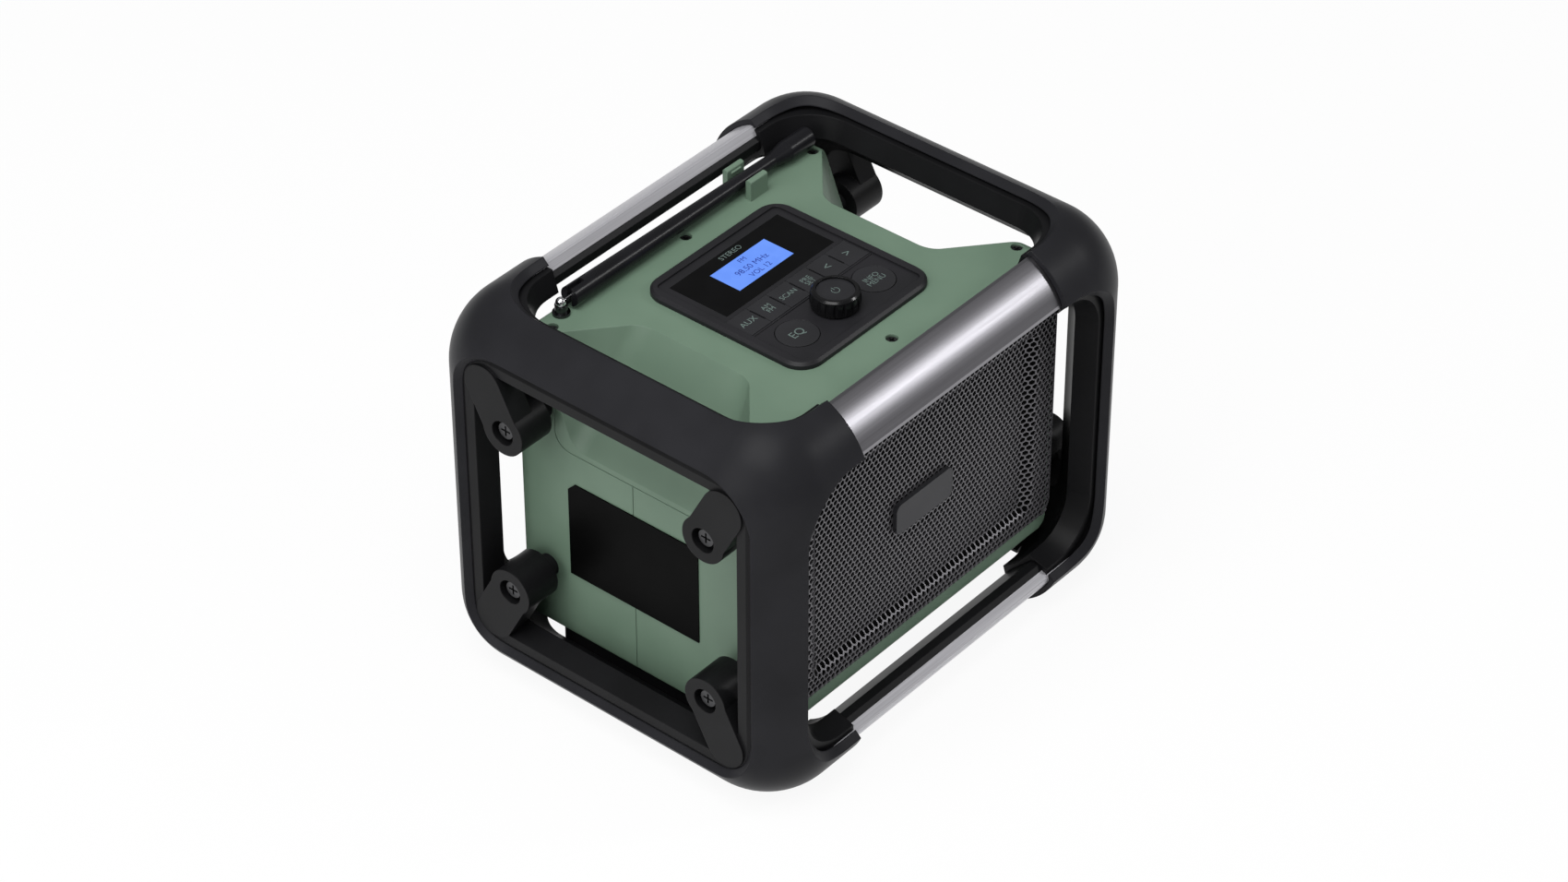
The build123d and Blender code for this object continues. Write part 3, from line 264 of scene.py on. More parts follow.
@dataclass(frozen=True)
class Moulded:
    """Moulded plastic or rubber, or ink, with a fine spark-eroded grain."""

    name: str
    dark: Colour
    light: Colour
    roughness: float = 0.45
    grain: float = 0.35
    grain_depth: float = 0.02
    rounded: float = 0.5
    specular: float = 0.5
    patch: float = 28.0
    patch_span: Span = (0.3, 0.7)
    grain_span: Span = (0.2, 0.8)
    spread: float = 0.03
    relief: float = 0.6

    def build(self) -> bpy.types.Material:
        """Make the material.

        Returns:
            The material.
        """
        graph = Graph(self.name)
        patches = graph.cloud(self.patch, SOFT_DETAIL).ramp(*self.patch_span)
        grain = graph.cloud(self.grain, SOFT_DETAIL)
        return graph.surface(
            Base_Color=patches.tint(self.dark, self.light),
            Roughness=grain.ramp(*self.grain_span).about(self.roughness, self.spread),
            Specular_IOR_Level=self.specular,
            Normal=graph.bump(grain, self.grain_depth, self.relief, self.rounded),
        )


@dataclass(frozen=True)
class Cloth:
    """Plain woven speaker cloth."""

    name: str
    dark: Colour
    light: Colour
    roughness: float = 0.95
    specular: float = 0.05
    thread: float = 0.4
    thread_depth: float = 0.05
    wave_scale: float = 0.5
    relief: float = 0.5

    def build(self) -> bpy.types.Material:
        """Make the material.

        Returns:
            The material.
        """
        graph = Graph(self.name)
        weave = self.threads(graph, "X") * self.threads(graph, "Z")
        return graph.surface(
            Base_Color=weave.tint(self.dark, self.light), Roughness=self.roughness,
            Specular_IOR_Level=self.specular,
            Normal=graph.bump(weave, self.thread_depth, self.relief),
        )

    def threads(self, graph: Graph, axis: str) -> Wire:
        """Give waves that follow each other along an axis, one to each thread.

        Args:
            graph: the material's graph.
            axis: the axis, "X" or "Z".

        Returns:
            The waves, 0 to 1.
        """
        count = 1.0 / (self.thread * MM)
        settings = {"wave_type": "BANDS", "bands_direction": axis}
        inputs = {"Vector": graph.stretched(count, count, count), "Scale": self.wave_scale}
        return graph.node("ShaderNodeTexWave", settings, inputs, "Fac")


@dataclass(frozen=True)
class Brushed:
    """Metal, or paint on metal, brushed along X with fine streaks."""

    name: str
    dark: Colour
    light: Colour
    roughness: float = 0.32
    streak: float = 0.25
    metallic: float = 1.0
    relief: float = 0.35
    spread: float = 0.06
    streak_depth: float = 0.01
    streaks_per_metre: float = 12.0
    colour_span: Span = (0.25, 0.75)
    dulling_span: Span = (0.3, 0.7)

    def build(self) -> bpy.types.Material:
        """Make the material.

        Returns:
            The material.
        """
        graph = Graph(self.name)
        count = 1.0 / (self.streak * MM)
        where = graph.stretched(self.streaks_per_metre, count, count)
        streaks = graph.noise(where, 1.0, FINE_DETAIL)
        return graph.surface(
            Base_Color=streaks.ramp(*self.colour_span).tint(self.dark, self.light),
            Roughness=streaks.ramp(*self.dulling_span).about(self.roughness, self.spread),
            Metallic=self.metallic, Normal=graph.bump(streaks, self.streak_depth, self.relief),
        )


@dataclass(frozen=True)
class Polished:
    """Smooth metal or gloss plastic with faint smears."""

    name: str
    dark: Colour
    light: Colour
    roughness: float = 0.08
    metallic: float = 0.0
    rounded: float = 0.3
    specular: float = 0.5
    smear: float = 9.0
    smear_depth: float = 0.003
    smear_haze: float = 0.05
    smear_span: Span = (0.35, 0.75)
    relief: float = 0.2

    def build(self) -> bpy.types.Material:
        """Make the material.

        Returns:
            The material.
        """
        graph = Graph(self.name)
        smears = graph.cloud(self.smear, FINE_DETAIL).ramp(*self.smear_span)
        return graph.surface(
            Base_Color=smears.tint(self.dark, self.light),
            Roughness=self.roughness + self.smear_haze * smears.ramp(0.0, 1.0),
            Metallic=self.metallic, Specular_IOR_Level=self.specular,
            Normal=graph.bump(smears, self.smear_depth, self.relief, self.rounded),
        )


@dataclass(frozen=True)
class Backlit:
    """The lit face of the display."""

    name: str
    glow: Colour
    edge: Colour
    strength: float = 1.0
    roughness: float = 0.12
    patch: float = 7.0
    patch_span: Span = (0.25, 0.75)

    def build(self) -> bpy.types.Material:
        """Make the material.

        Returns:
            The material.
        """
        graph = Graph(self.name)
        patches = graph.cloud(self.patch, SOFT_DETAIL).ramp(*self.patch_span)
        return graph.surface(
            Base_Color=(0, 0, 0, 1), Roughness=self.roughness,
            Emission_Color=patches.tint(self.edge, self.glow), Emission_Strength=self.strength,
        )


@dataclass(frozen=True)
class Board:
    """Green circuit board lacquer over copper traces."""

    name: str
    dark: Colour
    light: Colour
    roughness: float = 0.35
    cells_per_metre: float = 420.0
    trace_span: Span = (0.35, 0.42)
    trace_depth: float = 0.03
    relief: float = 0.5

    def build(self) -> bpy.types.Material:
        """Make the material.

        Returns:
            The material.
        """
        graph = Graph(self.name)
        inputs = {"Vector": graph.place(), "Scale": self.cells_per_metre}
        cells = graph.node("ShaderNodeTexVoronoi", {"distance": "MANHATTAN"}, inputs)
        traces = cells.ramp(*self.trace_span)
        return graph.surface(
            Base_Color=traces.tint(self.dark, self.light), Roughness=self.roughness,
            Normal=graph.bump(traces, self.trace_depth, self.relief),
        )


class Finish(Enum):
    """Every finish of the radio."""

    BUMPER = Moulded(
        "bumper_skin", (0.0145, 0.0145, 0.0165), (0.0180, 0.0180, 0.0205),
        roughness=0.38, grain=0.30, grain_depth=0.012, rounded=0.8, specular=0.07,
    )
    BLACK = Moulded(
        "black_moulding", (0.0055, 0.0055, 0.0060), (0.0075, 0.0075, 0.0083),
        roughness=0.42, grain_depth=0.014, specular=0.12,
    )
    GREEN = Moulded(
        "green_moulding", (0.119, 0.183, 0.131), (0.130, 0.197, 0.142),
        roughness=0.46, grain=0.40, rounded=0.6, specular=0.35,
    )
    PANEL = Moulded(
        "panel_moulding", (0.0125, 0.0125, 0.0140), (0.0165, 0.0160, 0.0185),
        roughness=0.42, grain=0.30, grain_depth=0.012, rounded=0.35, specular=0.2,
    )
    KEY = Moulded(
        "key_caps", (0.018, 0.018, 0.0195), (0.022, 0.022, 0.0245),
        roughness=0.40, grain=0.25, grain_depth=0.008, rounded=0.2, specular=0.18,
    )
    SOFT = Moulded(
        "rubber_soft", (0.010, 0.010, 0.011), (0.014, 0.014, 0.015),
        roughness=0.62, grain=0.30, rounded=0.4, specular=0.15,
    )
    BUSH = Moulded(
        "rubber_bush", (0.008, 0.008, 0.009), (0.012, 0.012, 0.013),
        roughness=0.60, grain=0.30, rounded=0.6, specular=0.12,
    )
    WHIP = Moulded(
        "whip_rubber", (0.007, 0.007, 0.008), (0.010, 0.010, 0.012),
        roughness=0.28, grain=0.25, grain_depth=0.006, rounded=0.3, specular=0.15,
    )
    SOCKET = Moulded(
        "socket_moulding", (0.010, 0.010, 0.011), (0.016, 0.016, 0.016),
        roughness=0.50, grain=0.30, grain_depth=0.01, rounded=0.2, specular=0.3,
    )
    CONE = Moulded(
        "cone_paper", (0.012, 0.012, 0.012), (0.03, 0.03, 0.03),
        roughness=0.75, grain=0.8, grain_depth=0.06, rounded=0.0, specular=0.3,
    )
    BADGE = Moulded(
        "badge_face", (0.036, 0.036, 0.040), (0.042, 0.042, 0.046),
        roughness=0.36, grain=0.25, grain_depth=0.006, rounded=0.3, specular=0.15,
    )
    LABEL = Moulded(
        "label_film", (0.0010, 0.0010, 0.0010), (0.0020, 0.0020, 0.0020),
        roughness=0.34, grain=0.6, grain_depth=0.003, rounded=0.0, specular=0.03,
    )
    CLOTH = Cloth("speaker_cloth", (0.0015, 0.0015, 0.0016), (0.0045, 0.0045, 0.0048))
    HANDLE = Brushed(
        "handle_brushed", (0.220, 0.216, 0.231), (0.250, 0.245, 0.262),
        roughness=0.35, relief=0.05, spread=0.03,
    )
    BAR = Brushed(
        "bar_satin", (0.42, 0.415, 0.440), (0.54, 0.535, 0.565),
        roughness=0.38, streak=0.35, metallic=0.4,
    )
    GRILLE = Brushed(
        "grille_paint", (0.108, 0.105, 0.114), (0.135, 0.131, 0.142),
        roughness=0.34, streak=0.6, metallic=0.4,
    )
    SCREW = Brushed(
        "screw_heads", (0.070, 0.070, 0.073), (0.100, 0.100, 0.104),
        roughness=0.42, streak=0.6,
    )
    CHROME = Polished(
        "chrome", (0.72, 0.72, 0.74), (0.80, 0.80, 0.82),
        roughness=0.06, metallic=1.0, rounded=0.1,
    )
    GUNMETAL = Polished(
        "antenna_post_metal", (0.055, 0.055, 0.058), (0.085, 0.085, 0.090),
        roughness=0.22, metallic=1.0, rounded=0.1,
    )
    STEEL = Polished(
        "plain_steel", (0.38, 0.38, 0.39), (0.46, 0.46, 0.47),
        roughness=0.25, metallic=1.0, rounded=0.1,
    )
    MAGNET = Polished(
        "magnet_steel", (0.10, 0.10, 0.11), (0.16, 0.16, 0.17),
        roughness=0.35, metallic=0.8,
    )
    WINDOW = Polished(
        "smoked_window", (0.0022, 0.0022, 0.0024), (0.0030, 0.0030, 0.0032),
        roughness=0.05, rounded=0.0, specular=0.10,
    )
    KNOB = Polished(
        "gloss_knob", (0.004, 0.004, 0.0046), (0.0060, 0.0060, 0.0066),
        roughness=0.20, specular=0.25,
    )
    CAP = Polished(
        "knob_cap", (0.017, 0.017, 0.019), (0.021, 0.021, 0.024),
        roughness=0.30, rounded=0.1, specular=0.2,
    )
    LEGEND = Moulded(
        "legend_ink", (0.095, 0.130, 0.120), (0.120, 0.160, 0.148),
        grain=0.3, grain_depth=0.0, rounded=0.0, specular=0.3,
    )
    SEGMENT = Moulded(
        "display_segments", (0.015, 0.03, 0.22), (0.02, 0.04, 0.28),
        roughness=0.30, grain=0.3, grain_depth=0.0, rounded=0.0, specular=0.3,
    )
    DISPLAY = Backlit("display_glow", (0.155, 0.330, 1.0), (0.135, 0.300, 0.95))
    BOARD = Board("circuit_lacquer", (0.01, 0.07, 0.03), (0.02, 0.12, 0.05))

    @cache
    def material(self) -> bpy.types.Material:
        """Give the finish's material, made at its first use."""
        return self.value.build()


# ------------------------------------------------------------------ making pieces


def dress(node: str, finish: Finish) -> None:
    """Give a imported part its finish.

    Args:
        node: the part's name.
        finish: its finish.
    """
    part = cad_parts[node]
    part.data.materials.clear()
    part.data.materials.append(finish.material())
    log.info("dressed %s in %s", node, finish.name)


def settle(piece: bpy.types.Object, body: str, finish: Finish) -> None:
    """Give a new piece its finish and the body that it moves with.

    Args:
        piece: the piece.
        body: the body's name.
        finish: its finish.
    """
    piece.data.materials.clear()
    piece.data.materials.append(finish.material())
    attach(piece, body)
    log.info("made %s on %s", piece.name, body)


def place_piece(name: str, data: bpy.types.ID) -> bpy.types.Object:
    """Put a mesh, camera, lamp or text into the scene.

    Args:
        name: the object's name.
        data: what it shows.

    Returns:
        The object.
    """
    piece = bpy.data.objects.new(name, data)
    bpy.context.scene.collection.objects.link(piece)
    return piece


def mesh_piece(name: str, mesh: bmesh.types.BMesh) -> bpy.types.Object:
    """Turn a working mesh, which is used up, into an object.

    Args:
        name: the object's name.
        mesh: the working mesh.

    Returns:
        The object.
    """
    data = bpy.data.meshes.new(name)
    mesh.to_mesh(data)
    mesh.free()
    return place_piece(name, data)


def thicken(piece: bpy.types.Object, thickness: float, offset: float) -> None:
    """Give a flat sheet its thickness.

    Args:
        piece: the sheet.
        thickness: the thickness in metres.
        offset: -1 to grow it all behind the sheet, 0 to grow it to both sides.
    """
    made = piece.modifiers.new("thickness", "SOLIDIFY")
    made.thickness = thickness
    made.offset = offset


def bridge(
    mesh: bmesh.types.BMesh, outer: list[bmesh.types.BMVert], inner: list[bmesh.types.BMVert],
    closed: bool = True,
) -> None:
    """Add a row of faces between two lines of points.

    Args:
        mesh: the working mesh.
        outer: the points of one line.
        inner: as many points of the other.
        closed: whether the row runs round to its start.
    """
    count = len(outer)
    for turn in range(count if closed else count - 1):
        ahead = (turn + 1) % count
        mesh.faces.new((outer[turn], outer[ahead], inner[ahead], inner[turn]))


def legend(name: str, text: str, at: Vector, height: float) -> bpy.types.Object:
    """Write a flat legend that faces up, with its top towards +Y.

    Args:
        name: the piece's name.
        text: the words.
        at: the middle of the legend.
        height: the letters' height in metres.

    Returns:
        The piece as a mesh.
    """
    words = bpy.data.curves.new(name + "_text", "FONT")
    words.body = text
    words.size = height / CAPITAL_SHARE
    words.align_x = "CENTER"
    words.align_y = "CENTER"
    words.space_line = LINE_SPACING
    words.extrude = INK / 2
    holder = place_piece(name + "_text", words)
    shape = bpy.context.evaluated_depsgraph_get()
    data = bpy.data.meshes.new_from_object(holder.evaluated_get(shape))
    bpy.data.objects.remove(holder)
    data.name = name
    data.transform(Matrix.Translation(at + Vector((0, 0, INK / 2))))
    return place_piece(name, data)


# ------------------------------------------------------------------ the radio's sub-assemblies


@dataclass
class Assembly:
    """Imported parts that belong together, with the finish of each."""

    finishes: dict[str, Finish] = field(default_factory=dict)

    def build(self) -> None:
        """Dress the parts."""
        for node, finish in self.finishes.items():
            dress(node, finish)


@dataclass
class Cage(Assembly):
    """End frames, bumpers, bars and the lugs' hardware."""

    finishes: dict[str, Finish] = field(default_factory=lambda: {
        "bumper_left": Finish.BUMPER, "bumper_right": Finish.BUMPER,
        "frame_left": Finish.BLACK, "frame_right": Finish.BLACK,
        "carry_handle": Finish.HANDLE, "handle_core": Finish.BLACK,
        "top_back_bar": Finish.BAR, "top_back_core": Finish.BLACK,
        "bottom_front_bar": Finish.BAR, "bottom_front_core": Finish.BLACK,
        "bottom_back_bar": Finish.BAR, "bottom_back_core": Finish.BLACK,
        "lug_bushes": Finish.BUSH, "lug_screws": Finish.SCREW,
    })


@dataclass
class Housing(Assembly):
    """The green mouldings, what is fixed to them and what they hold."""

    finishes: dict[str, Finish] = field(default_factory=lambda: {
        "top_cover": Finish.GREEN, "front_shell": Finish.GREEN, "rear_shell": Finish.GREEN,
        # painted shade: the black base tray fills the space under the housing with black where
        # the shade beneath the radio falls
        "base_tray": Finish.BLACK, "cover_screws": Finish.SCREW, "rear_screws": Finish.SCREW,
        "label_plate": Finish.LABEL, "battery_door": Finish.GREEN,
        "door_hinge_pins": Finish.STEEL, "battery_terminal": Finish.SOCKET,
        "socket_block": Finish.SOCKET, "power_jack": Finish.STEEL, "socket_flap": Finish.SOFT,
        "speaker_basket_left": Finish.MAGNET, "speaker_basket_right": Finish.MAGNET,
        "speaker_cone_left": Finish.CONE, "speaker_cone_right": Finish.CONE,
        "speaker_magnet_left": Finish.MAGNET, "speaker_magnet_right": Finish.MAGNET,
        "key_mat": Finish.SOFT, "control_board": Finish.BOARD, "main_board": Finish.BOARD,
        "power_converter": Finish.BOARD, "heat_sink": Finish.STEEL,
        "encoder": Finish.STEEL, "encoder_shaft": Finish.STEEL,
    })


@dataclass
class Grille(Assembly):
    """Perforated sheet with a pressed-in field over black cloth, and its bare badge."""

    finishes: dict[str, Finish] = field(default_factory=lambda: {"badge_plate": Finish.BADGE})
    pitch: float = 2.8 * MM
    wire: float = 0.56 * MM
    rim: float = 0.5 * MM
    sheet: float = 0.6 * MM
    corner: float = 6.0 * MM
    corner_points: int = 8
    step: float = 3.0 * MM
    run_side: float = 4.8 * MM
    run_end: float = 3.0 * MM
    turn: float = 1.5
    border_side: float = 12.6 * MM
    border_top: float = 9.6 * MM
    border_bottom: float = 7.0 * MM
    lap: float = 2.3 * MM
    stand: float = 0.6 * MM
    cloth_gap: float = 0.15 * MM
    cloth: float = 0.2 * MM
    overhang: float = 0.3
    weld: float = 0.02 * MM
    shortest: float = 0.01 * MM
    middle: Vector = field(init=False)
    half_x: float = field(init=False)
    half_z: float = field(init=False)
    front: float = field(init=False)

    def build(self) -> None:
        """Make the perforated sheet and the cloth, and dress the badge."""
        self.measure()
        sheet, cloth = bmesh.new(), bmesh.new()
        for x, z in self.holes():
            self.cell(sheet, x, z)
            self.patch(cloth, x, z)
        self.edge(sheet)
        for mesh in (sheet, cloth):
            bmesh.ops.remove_doubles(mesh, verts=mesh.verts, dist=self.weld)
            bmesh.ops.dissolve_degenerate(mesh, edges=mesh.edges, dist=self.shortest)
        steel = mesh_piece("grille_mesh", sheet)
        thicken(steel, self.sheet, -1.0)
        settle(steel, "radio", Finish.GRILLE)
        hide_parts("grille")
        fabric = mesh_piece("speaker_cloth", cloth)
        thicken(fabric, self.cloth, -1.0)
        settle(fabric, "radio", Finish.CLOTH)
        super().build()

    def measure(self) -> None:
        """Take the sheet's middle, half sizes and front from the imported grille."""
        low, high = (Vector(corner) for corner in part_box("grille"))
        self.middle = (low + high) / 2
        self.half_x, self.half_z = (high.x - low.x) / 2 + self.lap, (high.z - low.z) / 2
        self.front = low.y - self.stand

    def holes(self) -> list[tuple[float, float]]:
        """Give the middles of the holes, in rows that are set off by half a pitch.

        Returns:
            Their sideways and upright places from the sheet's middle.
        """
        row_pitch = self.pitch * math.sqrt(3) / 2
        columns = int(self.half_x / self.pitch) + 1
        rows = int(self.half_z / row_pitch) + 1
        places = [
            ((column + (0.5 if row % 2 else 0.0)) * self.pitch, row * row_pitch)
            for row in range(-rows, rows + 1) for column in range(-columns, columns + 1)
        ]
        return [place for place in places if self.inset(*place) > -self.overhang * self.pitch]

    @staticmethod
    def within(over_x: float, over_z: float, corner: float) -> float:
        """Tell how far a point lies inside a rounded rectangle.

        Args:
            over_x: how far it lies past the start of the corner sideways.
            over_z: how far it lies past the start of the corner upright.
            corner: the corner's radius.

        Returns:
            The distance, negative outside.
        """
        outside = math.hypot(max(over_x, 0.0), max(over_z, 0.0))
        return corner - outside - min(max(over_x, over_z), 0.0)

    def inset(self, x: float, z: float) -> float:
        """Tell how far a point lies inside the sheet's outline.

        Args:
            x: sideways place from the middle.
            z: upright place from the middle.

        Returns:
            The distance, negative outside.
        """
        reach = self.corner
        return self.within(abs(x) - (self.half_x - reach), abs(z) - (self.half_z - reach), reach)

    def depth(self, x: float, z: float) -> float:
        """Tell how far back the sheet lies at a point.

        Args:
            x: sideways place from the middle.
            z: upright place from the middle.

        Returns:
            The depth in metres.
        """
        top, bottom = self.half_z - self.border_top, self.border_bottom - self.half_z
        over_x = (abs(x) - (self.half_x - self.border_side)) / self.run_side + self.turn
        over_z = max(z - top, bottom - z) / self.run_end + self.turn
        return self.step * min(max(self.within(over_x, over_z, self.turn), 0.0), 1.0)

    def point(self, x: float, z: float, behind: float = 0.0) -> Vector:
        """Give the place of a point of the sheet, held inside its outline.

        Args:
            x: sideways place from the middle.
            z: upright place from the middle.
            behind: how far behind the sheet's face it lies.

        Returns:
            The point.
        """
        x = min(max(x, -self.half_x), self.half_x)
        z = min(max(z, -self.half_z), self.half_z)
        short = -self.inset(x, z)
        if short > 0.0:
            heart_x = math.copysign(self.half_x - self.corner, x)
            heart_z = math.copysign(self.half_z - self.corner, z)
            share = self.corner / (self.corner + short)
            x, z = heart_x + (x - heart_x) * share, heart_z + (z - heart_z) * share
        back = self.front + self.depth(x, z) + behind
        return Vector((self.middle.x + x, back, self.middle.z + z))

    @staticmethod
    def hexagon(x: float, z: float, across: float) -> list[tuple[float, float]]:
        """Give the corners of a hexagon that stands on a corner.

        Args:
            x: sideways place of its middle.
            z: upright place of its middle.
            across: its width across flats.

        Returns:
            The corners.
        """
        reach = across / math.sqrt(3)
        turns = [math.radians(60 * turn + 30) for turn in range(6)]
        return [(x + reach * math.cos(turn), z + reach * math.sin(turn)) for turn in turns]

    def cell(self, mesh: bmesh.types.BMesh, x: float, z: float) -> None:
        """Add one six-sided hole with the metal round it.

        Args:
            mesh: the working mesh.
            x: sideways place of the hole.
            z: upright place of the hole.
        """
        outer, inner = (
            [mesh.verts.new(self.point(*place)) for place in self.hexagon(x, z, across)]
            for across in (self.pitch, self.pitch - self.wire)
        )
        bridge(mesh, outer, inner)

    def patch(self, mesh: bmesh.types.BMesh, x: float, z: float) -> None:
        """Add the cloth behind one hole.

        Args:
            mesh: the working mesh.
            x: sideways place of the hole.
            z: upright place of the hole.
        """
        behind = self.sheet + self.cloth_gap
        corners = self.hexagon(x, z, self.pitch)
        mesh.faces.new([mesh.verts.new(self.point(*place, behind)) for place in corners])

    def edge(self, mesh: bmesh.types.BMesh) -> None:
        """Add the plain strip round the sheet's outline to the working mesh."""
        outer, inner = (self.outline(mesh, inward) for inward in (0.0, self.rim))
        bridge(mesh, outer, inner)

    def outline(self, mesh: bmesh.types.BMesh, inward: float) -> list[bmesh.types.BMVert]:
        """Add points along the sheet's outline, or along a line inside it.

        Args:
            mesh: the working mesh.
            inward: how far inside the outline they lie.

        Returns:
            The points in order.
        """
        reach = self.corner - inward
        ring = []
        for index in range(4 * self.corner_points):
            quarter, place = divmod(index, self.corner_points)
            angle = math.radians(90 * quarter + 90 * place / (self.corner_points - 1))
            diagonal = math.radians(90 * quarter + 45)
            heart_x = math.copysign(self.half_x - self.corner, math.cos(diagonal))
            heart_z = math.copysign(self.half_z - self.corner, math.sin(diagonal))
            x, z = heart_x + reach * math.cos(angle), heart_z + reach * math.sin(angle)
            ring.append(mesh.verts.new(self.point(x, z)))
        return ring


@dataclass
class ControlPanel(Assembly):
    """Bezel, window with its lit display, keys, buttons and knob."""

    finishes: dict[str, Finish] = field(default_factory=lambda: {
        "control_bezel": Finish.PANEL, "control_panel": Finish.PANEL,
        "display_window": Finish.WINDOW, "lcd_module": Finish.STEEL,
        "volume_knob": Finish.KNOB, "knob_cap": Finish.CAP,
    })
    words: dict[str, tuple[str, float]] = field(default_factory=lambda: {
        "key_1": ("AUX", 3.0 * MM), "key_2": ("AM\nFM", 2.4 * MM), "key_3": ("SCAN", 2.5 * MM),
        "key_4": ("PRE\nSET", 2.4 * MM), "key_5": ("<", 4.2 * MM), "key_6": (">", 4.2 * MM),
        "button_left": ("EQ", 4.0 * MM), "button_right": ("INFO\nMENU", 2.6 * MM),
    })
    lift: float = 0.03 * MM
    sunk: float = 0.005 * MM
    screen_low: Span = (-16.8 * MM, 10.7 * MM)
    screen_high: Span = (16.8 * MM, 26.5 * MM)
    lines: tuple[tuple[str, float, float], ...] = (
        ("FM", 23.8 * MM, 2.4 * MM), ("98.50 MHz", 18.6 * MM, 3.0 * MM),
        ("VOL 12", 13.9 * MM, 2.7 * MM),
    )
    window_word: str = "STEREO"
    window_word_at: Span = (0.7 * MM, 30.6 * MM)
    window_word_height: float = 2.6 * MM
    mark_radii: Span = (1.55 * MM, 1.85 * MM)
    mark_start: float = -240
    mark_step: float = 10
    mark_points: int = 31
    stroke_half: float = 0.16 * MM
    stroke_low: float = 0.5 * MM
    stroke_high: float = 2.3 * MM
    mark_share: float = 0.8

    def build(self) -> None:
        """Dress the panel and add legends and the display."""
        super().build()
        for node, (text, height) in self.words.items():
            dress(node, Finish.KEY)
            self.key_legend(node, text, height)
        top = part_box("display_window")[1][2]
        self.screen(top)
        self.readout(top)
        self.power_mark()

    def key_legend(self, node: str, text: str, height: float) -> None:
        """Print a legend on a key.

        Args:
            node: the key's name, which is also its body's.
            text: the words.
            height: the letters' height in metres.
        """
        low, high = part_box(node)
        at = Vector(((low[0] + high[0]) / 2, (low[1] + high[1]) / 2, high[2]))
        piece = legend(f"{node}_legend", text, at, height)
        settle(piece, node, Finish.LEGEND)

    def screen(self, top: float) -> None:
        """Make the lit face of the display, a thin slab on the window.

        Args:
            top: the height of the window's face.
        """
        mesh = bmesh.new()
        (left, near), (right, far) = self.screen_low, self.screen_high
        corners = [(left, near), (right, near), (right, far), (left, far)]
        under, over = (
            [mesh.verts.new((x, y, height)) for x, y in corners]
            for height in (top + self.sunk, top + self.lift)
        )
        mesh.faces.new((under[0], *under[:0:-1]))
        mesh.faces.new(over)
        bridge(mesh, under, over)
        settle(mesh_piece("display_light", mesh), "radio", Finish.DISPLAY)

    def readout(self, top: float) -> None:
        """Write the display's lines and the word above it.

        Args:
            top: the height of the window's face.
        """
        for index, (text, y, height) in enumerate(self.lines):
            at = Vector((0.0, y, top + self.lift))
            piece = legend(f"display_line_{index}", text, at, height)
            settle(piece, "radio", Finish.SEGMENT)
        at = Vector((*self.window_word_at, top))
        piece = legend("window_word", self.window_word, at, self.window_word_height)
        settle(piece, "radio", Finish.LEGEND)

    def power_mark(self) -> None:
        """Print the on and off mark, a broken ring with a stroke, on the knob's cap."""
        low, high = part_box("knob_cap")
        middle = (Vector(low) + Vector(high)) / 2
        mesh = bmesh.new()
        top = high[2] + self.lift

        def spot(x: float, y: float) -> bmesh.types.BMVert:
            """Add a point of the mark, measured from its middle."""
            return mesh.verts.new((middle.x + x, middle.y + y, top))

        steps = range(self.mark_points)
        arc = [math.radians(self.mark_start + self.mark_step * step) for step in steps]
        inner, outer = (
            [spot(reach * math.cos(turn), reach * math.sin(turn)) for turn in arc]
            for reach in self.mark_radii
        )
        bridge(mesh, inner, outer, closed=False)
        half, near, far = self.stroke_half, self.stroke_low, self.stroke_high
        stroke = [(-half, near), (half, near), (half, far), (-half, far)]
        mesh.faces.new([spot(x, y) for x, y in stroke])
        bmesh.ops.recalc_face_normals(mesh, faces=mesh.faces)
        piece = mesh_piece("power_mark", mesh)
        thicken(piece, self.lift * self.mark_share, 0.0)
        settle(piece, "knob", Finish.LEGEND)


@dataclass
class Antenna(Assembly):
    """Post, link, whip and tip."""

    finishes: dict[str, Finish] = field(default_factory=lambda: {
        "antenna_post": Finish.GUNMETAL, "antenna_link": Finish.CHROME,
        "antenna_whip": Finish.WHIP, "antenna_tip": Finish.WHIP,
    })


# ------------------------------------------------------------------ studio (lengths in metres)


@dataclass(frozen=True)
class Lamp:
    """A square soft box, with its side in metres and its power in watts."""

    name: str
    place: Place
    side: float
    power: float

    def hang(self, aim: Place) -> None:
        """Hang the lamp so that it faces the point that is lit.

        Args:
            aim: the point.
        """
        data = bpy.data.lights.new(self.name, "AREA")
        data.size = self.side
        data.energy = self.power
        made = place_piece(self.name, data)
        made.location = self.place
        facing = Vector(aim) - Vector(self.place)
        made.rotation_euler = facing.to_track_quat("-Z", "Y").to_euler()


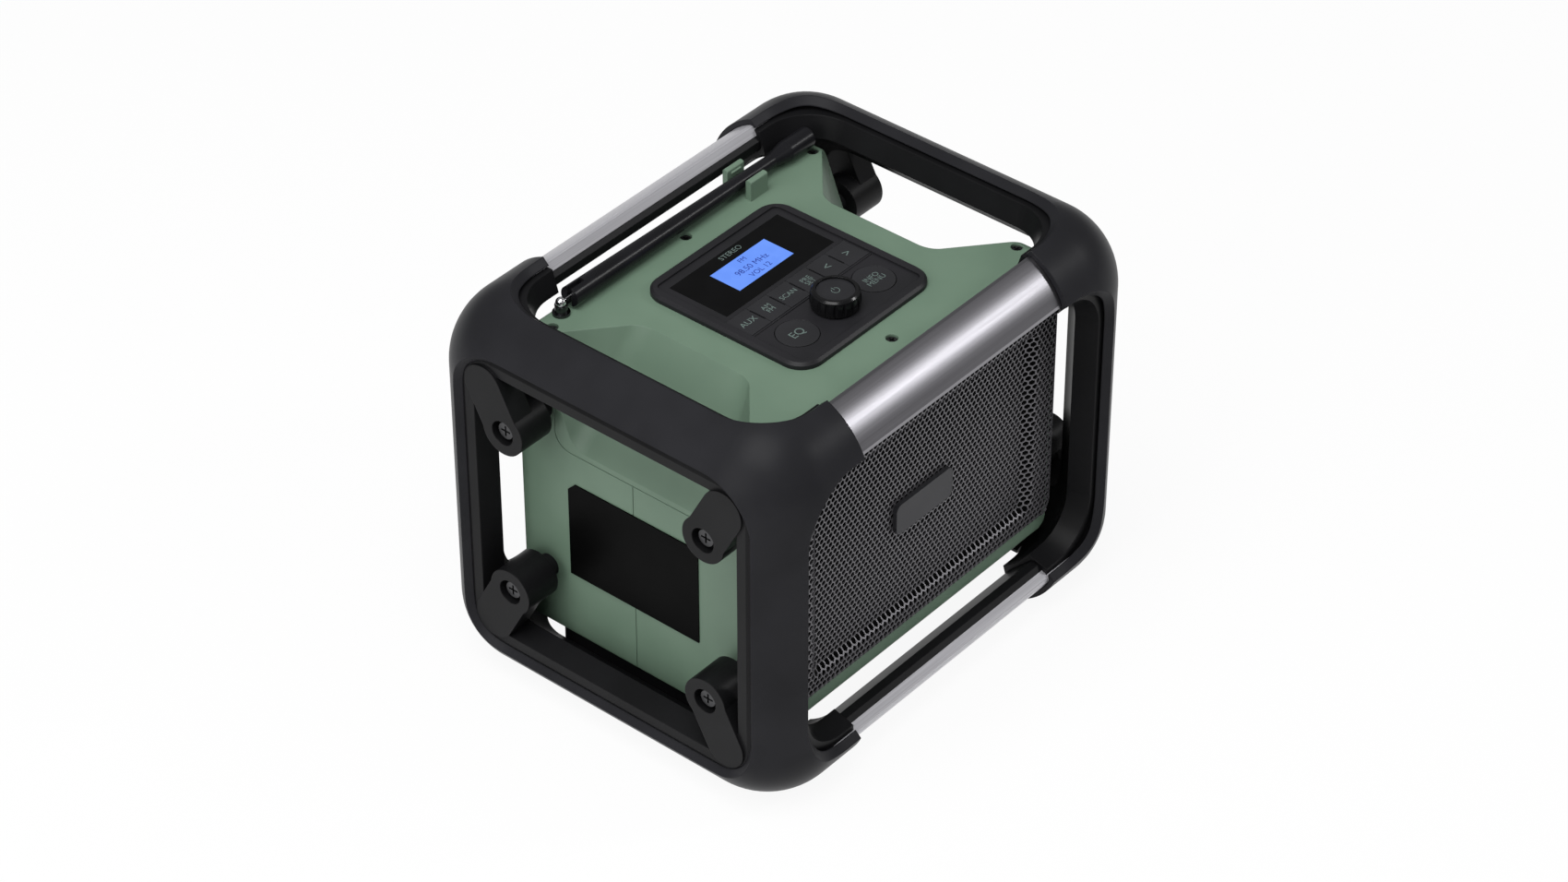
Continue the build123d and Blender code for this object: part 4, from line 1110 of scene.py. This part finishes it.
@dataclass
class Studio:
    """Floor, lamps, world and camera."""

    azimuth: float = -50.0313
    elevation: float = 37.8581
    distance: float = 1.86892
    lens: float = 104.166
    sensor: float = 36.0
    aim: Place = (0.0, 0.0, 0.0896)
    slip: Span = (-1.3184 * MM, -3.3434 * MM)
    world_level: float = 0.25
    floor_half: float = 3.0
    floor_squares: int = 4
    floor_colour: Colour = (0.8, 0.8, 0.8)
    floor_glow: float = 0.92
    lamps: tuple[Lamp, ...] = (
        Lamp("key_lamp", (-0.65, -0.2, 1.85), 1.3, 33.0),
        Lamp("left_lamp", (-1.8, 0.1, 0.9), 1.3, 15.0),
        Lamp("front_lamp", (1.2, -1.2, 1.2), 0.30, 7.2),
    )

    def build(self) -> None:
        """Set up the studio."""
        self.camera()
        self.floor()
        self.world()
        for lamp in self.lamps:
            lamp.hang(self.aim)
        bpy.context.scene.view_settings.view_transform = "Standard"

    def camera(self) -> None:
        """Place the camera round the point that it aims at, slipped a little sideways and up."""
        turn, tilt = math.radians(self.azimuth), math.radians(self.elevation)
        level = math.cos(tilt)
        back = Vector((math.sin(turn) * level, -math.cos(turn) * level, math.sin(tilt)))
        right = Vector((0, 0, 1)).cross(back).normalized()
        up = back.cross(right)
        place = Vector(self.aim) + right * self.slip[0] + up * self.slip[1] + back * self.distance
        data = bpy.data.cameras.new("camera")
        data.lens = self.lens
        data.sensor_width = self.sensor
        made = place_piece("camera", data)
        made.matrix_world = Matrix((
            (right.x, up.x, back.x, place.x), (right.y, up.y, back.y, place.y),
            (right.z, up.z, back.z, place.z), (0, 0, 0, 1),
        ))
        bpy.context.scene.camera = made

    def floor(self) -> None:
        """Lay a white floor that keeps a faint shadow."""
        mesh = bmesh.new()
        squares = self.floor_squares
        bmesh.ops.create_grid(mesh, x_segments=squares, y_segments=squares, size=self.floor_half)
        piece = mesh_piece("floor", mesh)
        graph = Graph("floor_white")
        diffuse = graph.node("ShaderNodeBsdfDiffuse", inputs={"Color": (*self.floor_colour, 1)})
        glow = graph.node("ShaderNodeEmission", inputs={"Color": WHITE, "Strength": 1.0})
        seen, glossy, clear = (
            graph.node("ShaderNodeLightPath", output=f"Is {ray} Ray")
            for ray in ("Camera", "Glossy", "Transmission")
        )
        share = (seen + glossy + clear) * self.floor_glow
        mixed = graph.node("ShaderNodeMixShader", inputs={0: share, 1: diffuse, 2: glow})
        piece.data.materials.append(graph.close(mixed))

    def world(self) -> None:
        """Light the surroundings evenly."""
        world = bpy.data.worlds.new("studio")
        world.use_nodes = True
        bpy.context.scene.world = world
        back = next(node for node in world.node_tree.nodes if node.type == "BACKGROUND")
        back.inputs["Color"].default_value = WHITE
        back.inputs["Strength"].default_value = self.world_level


def main() -> None:
    """Build every sub-assembly in order, then the studio."""
    logging.basicConfig(level=logging.INFO, format="%(name)s: %(message)s")
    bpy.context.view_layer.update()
    for part in (Cage(), Housing(), Grille(), ControlPanel(), Antenna(), Studio()):
        log.info("building %s", type(part).__name__)
        part.build()


if __name__ == "__main__":
    main()
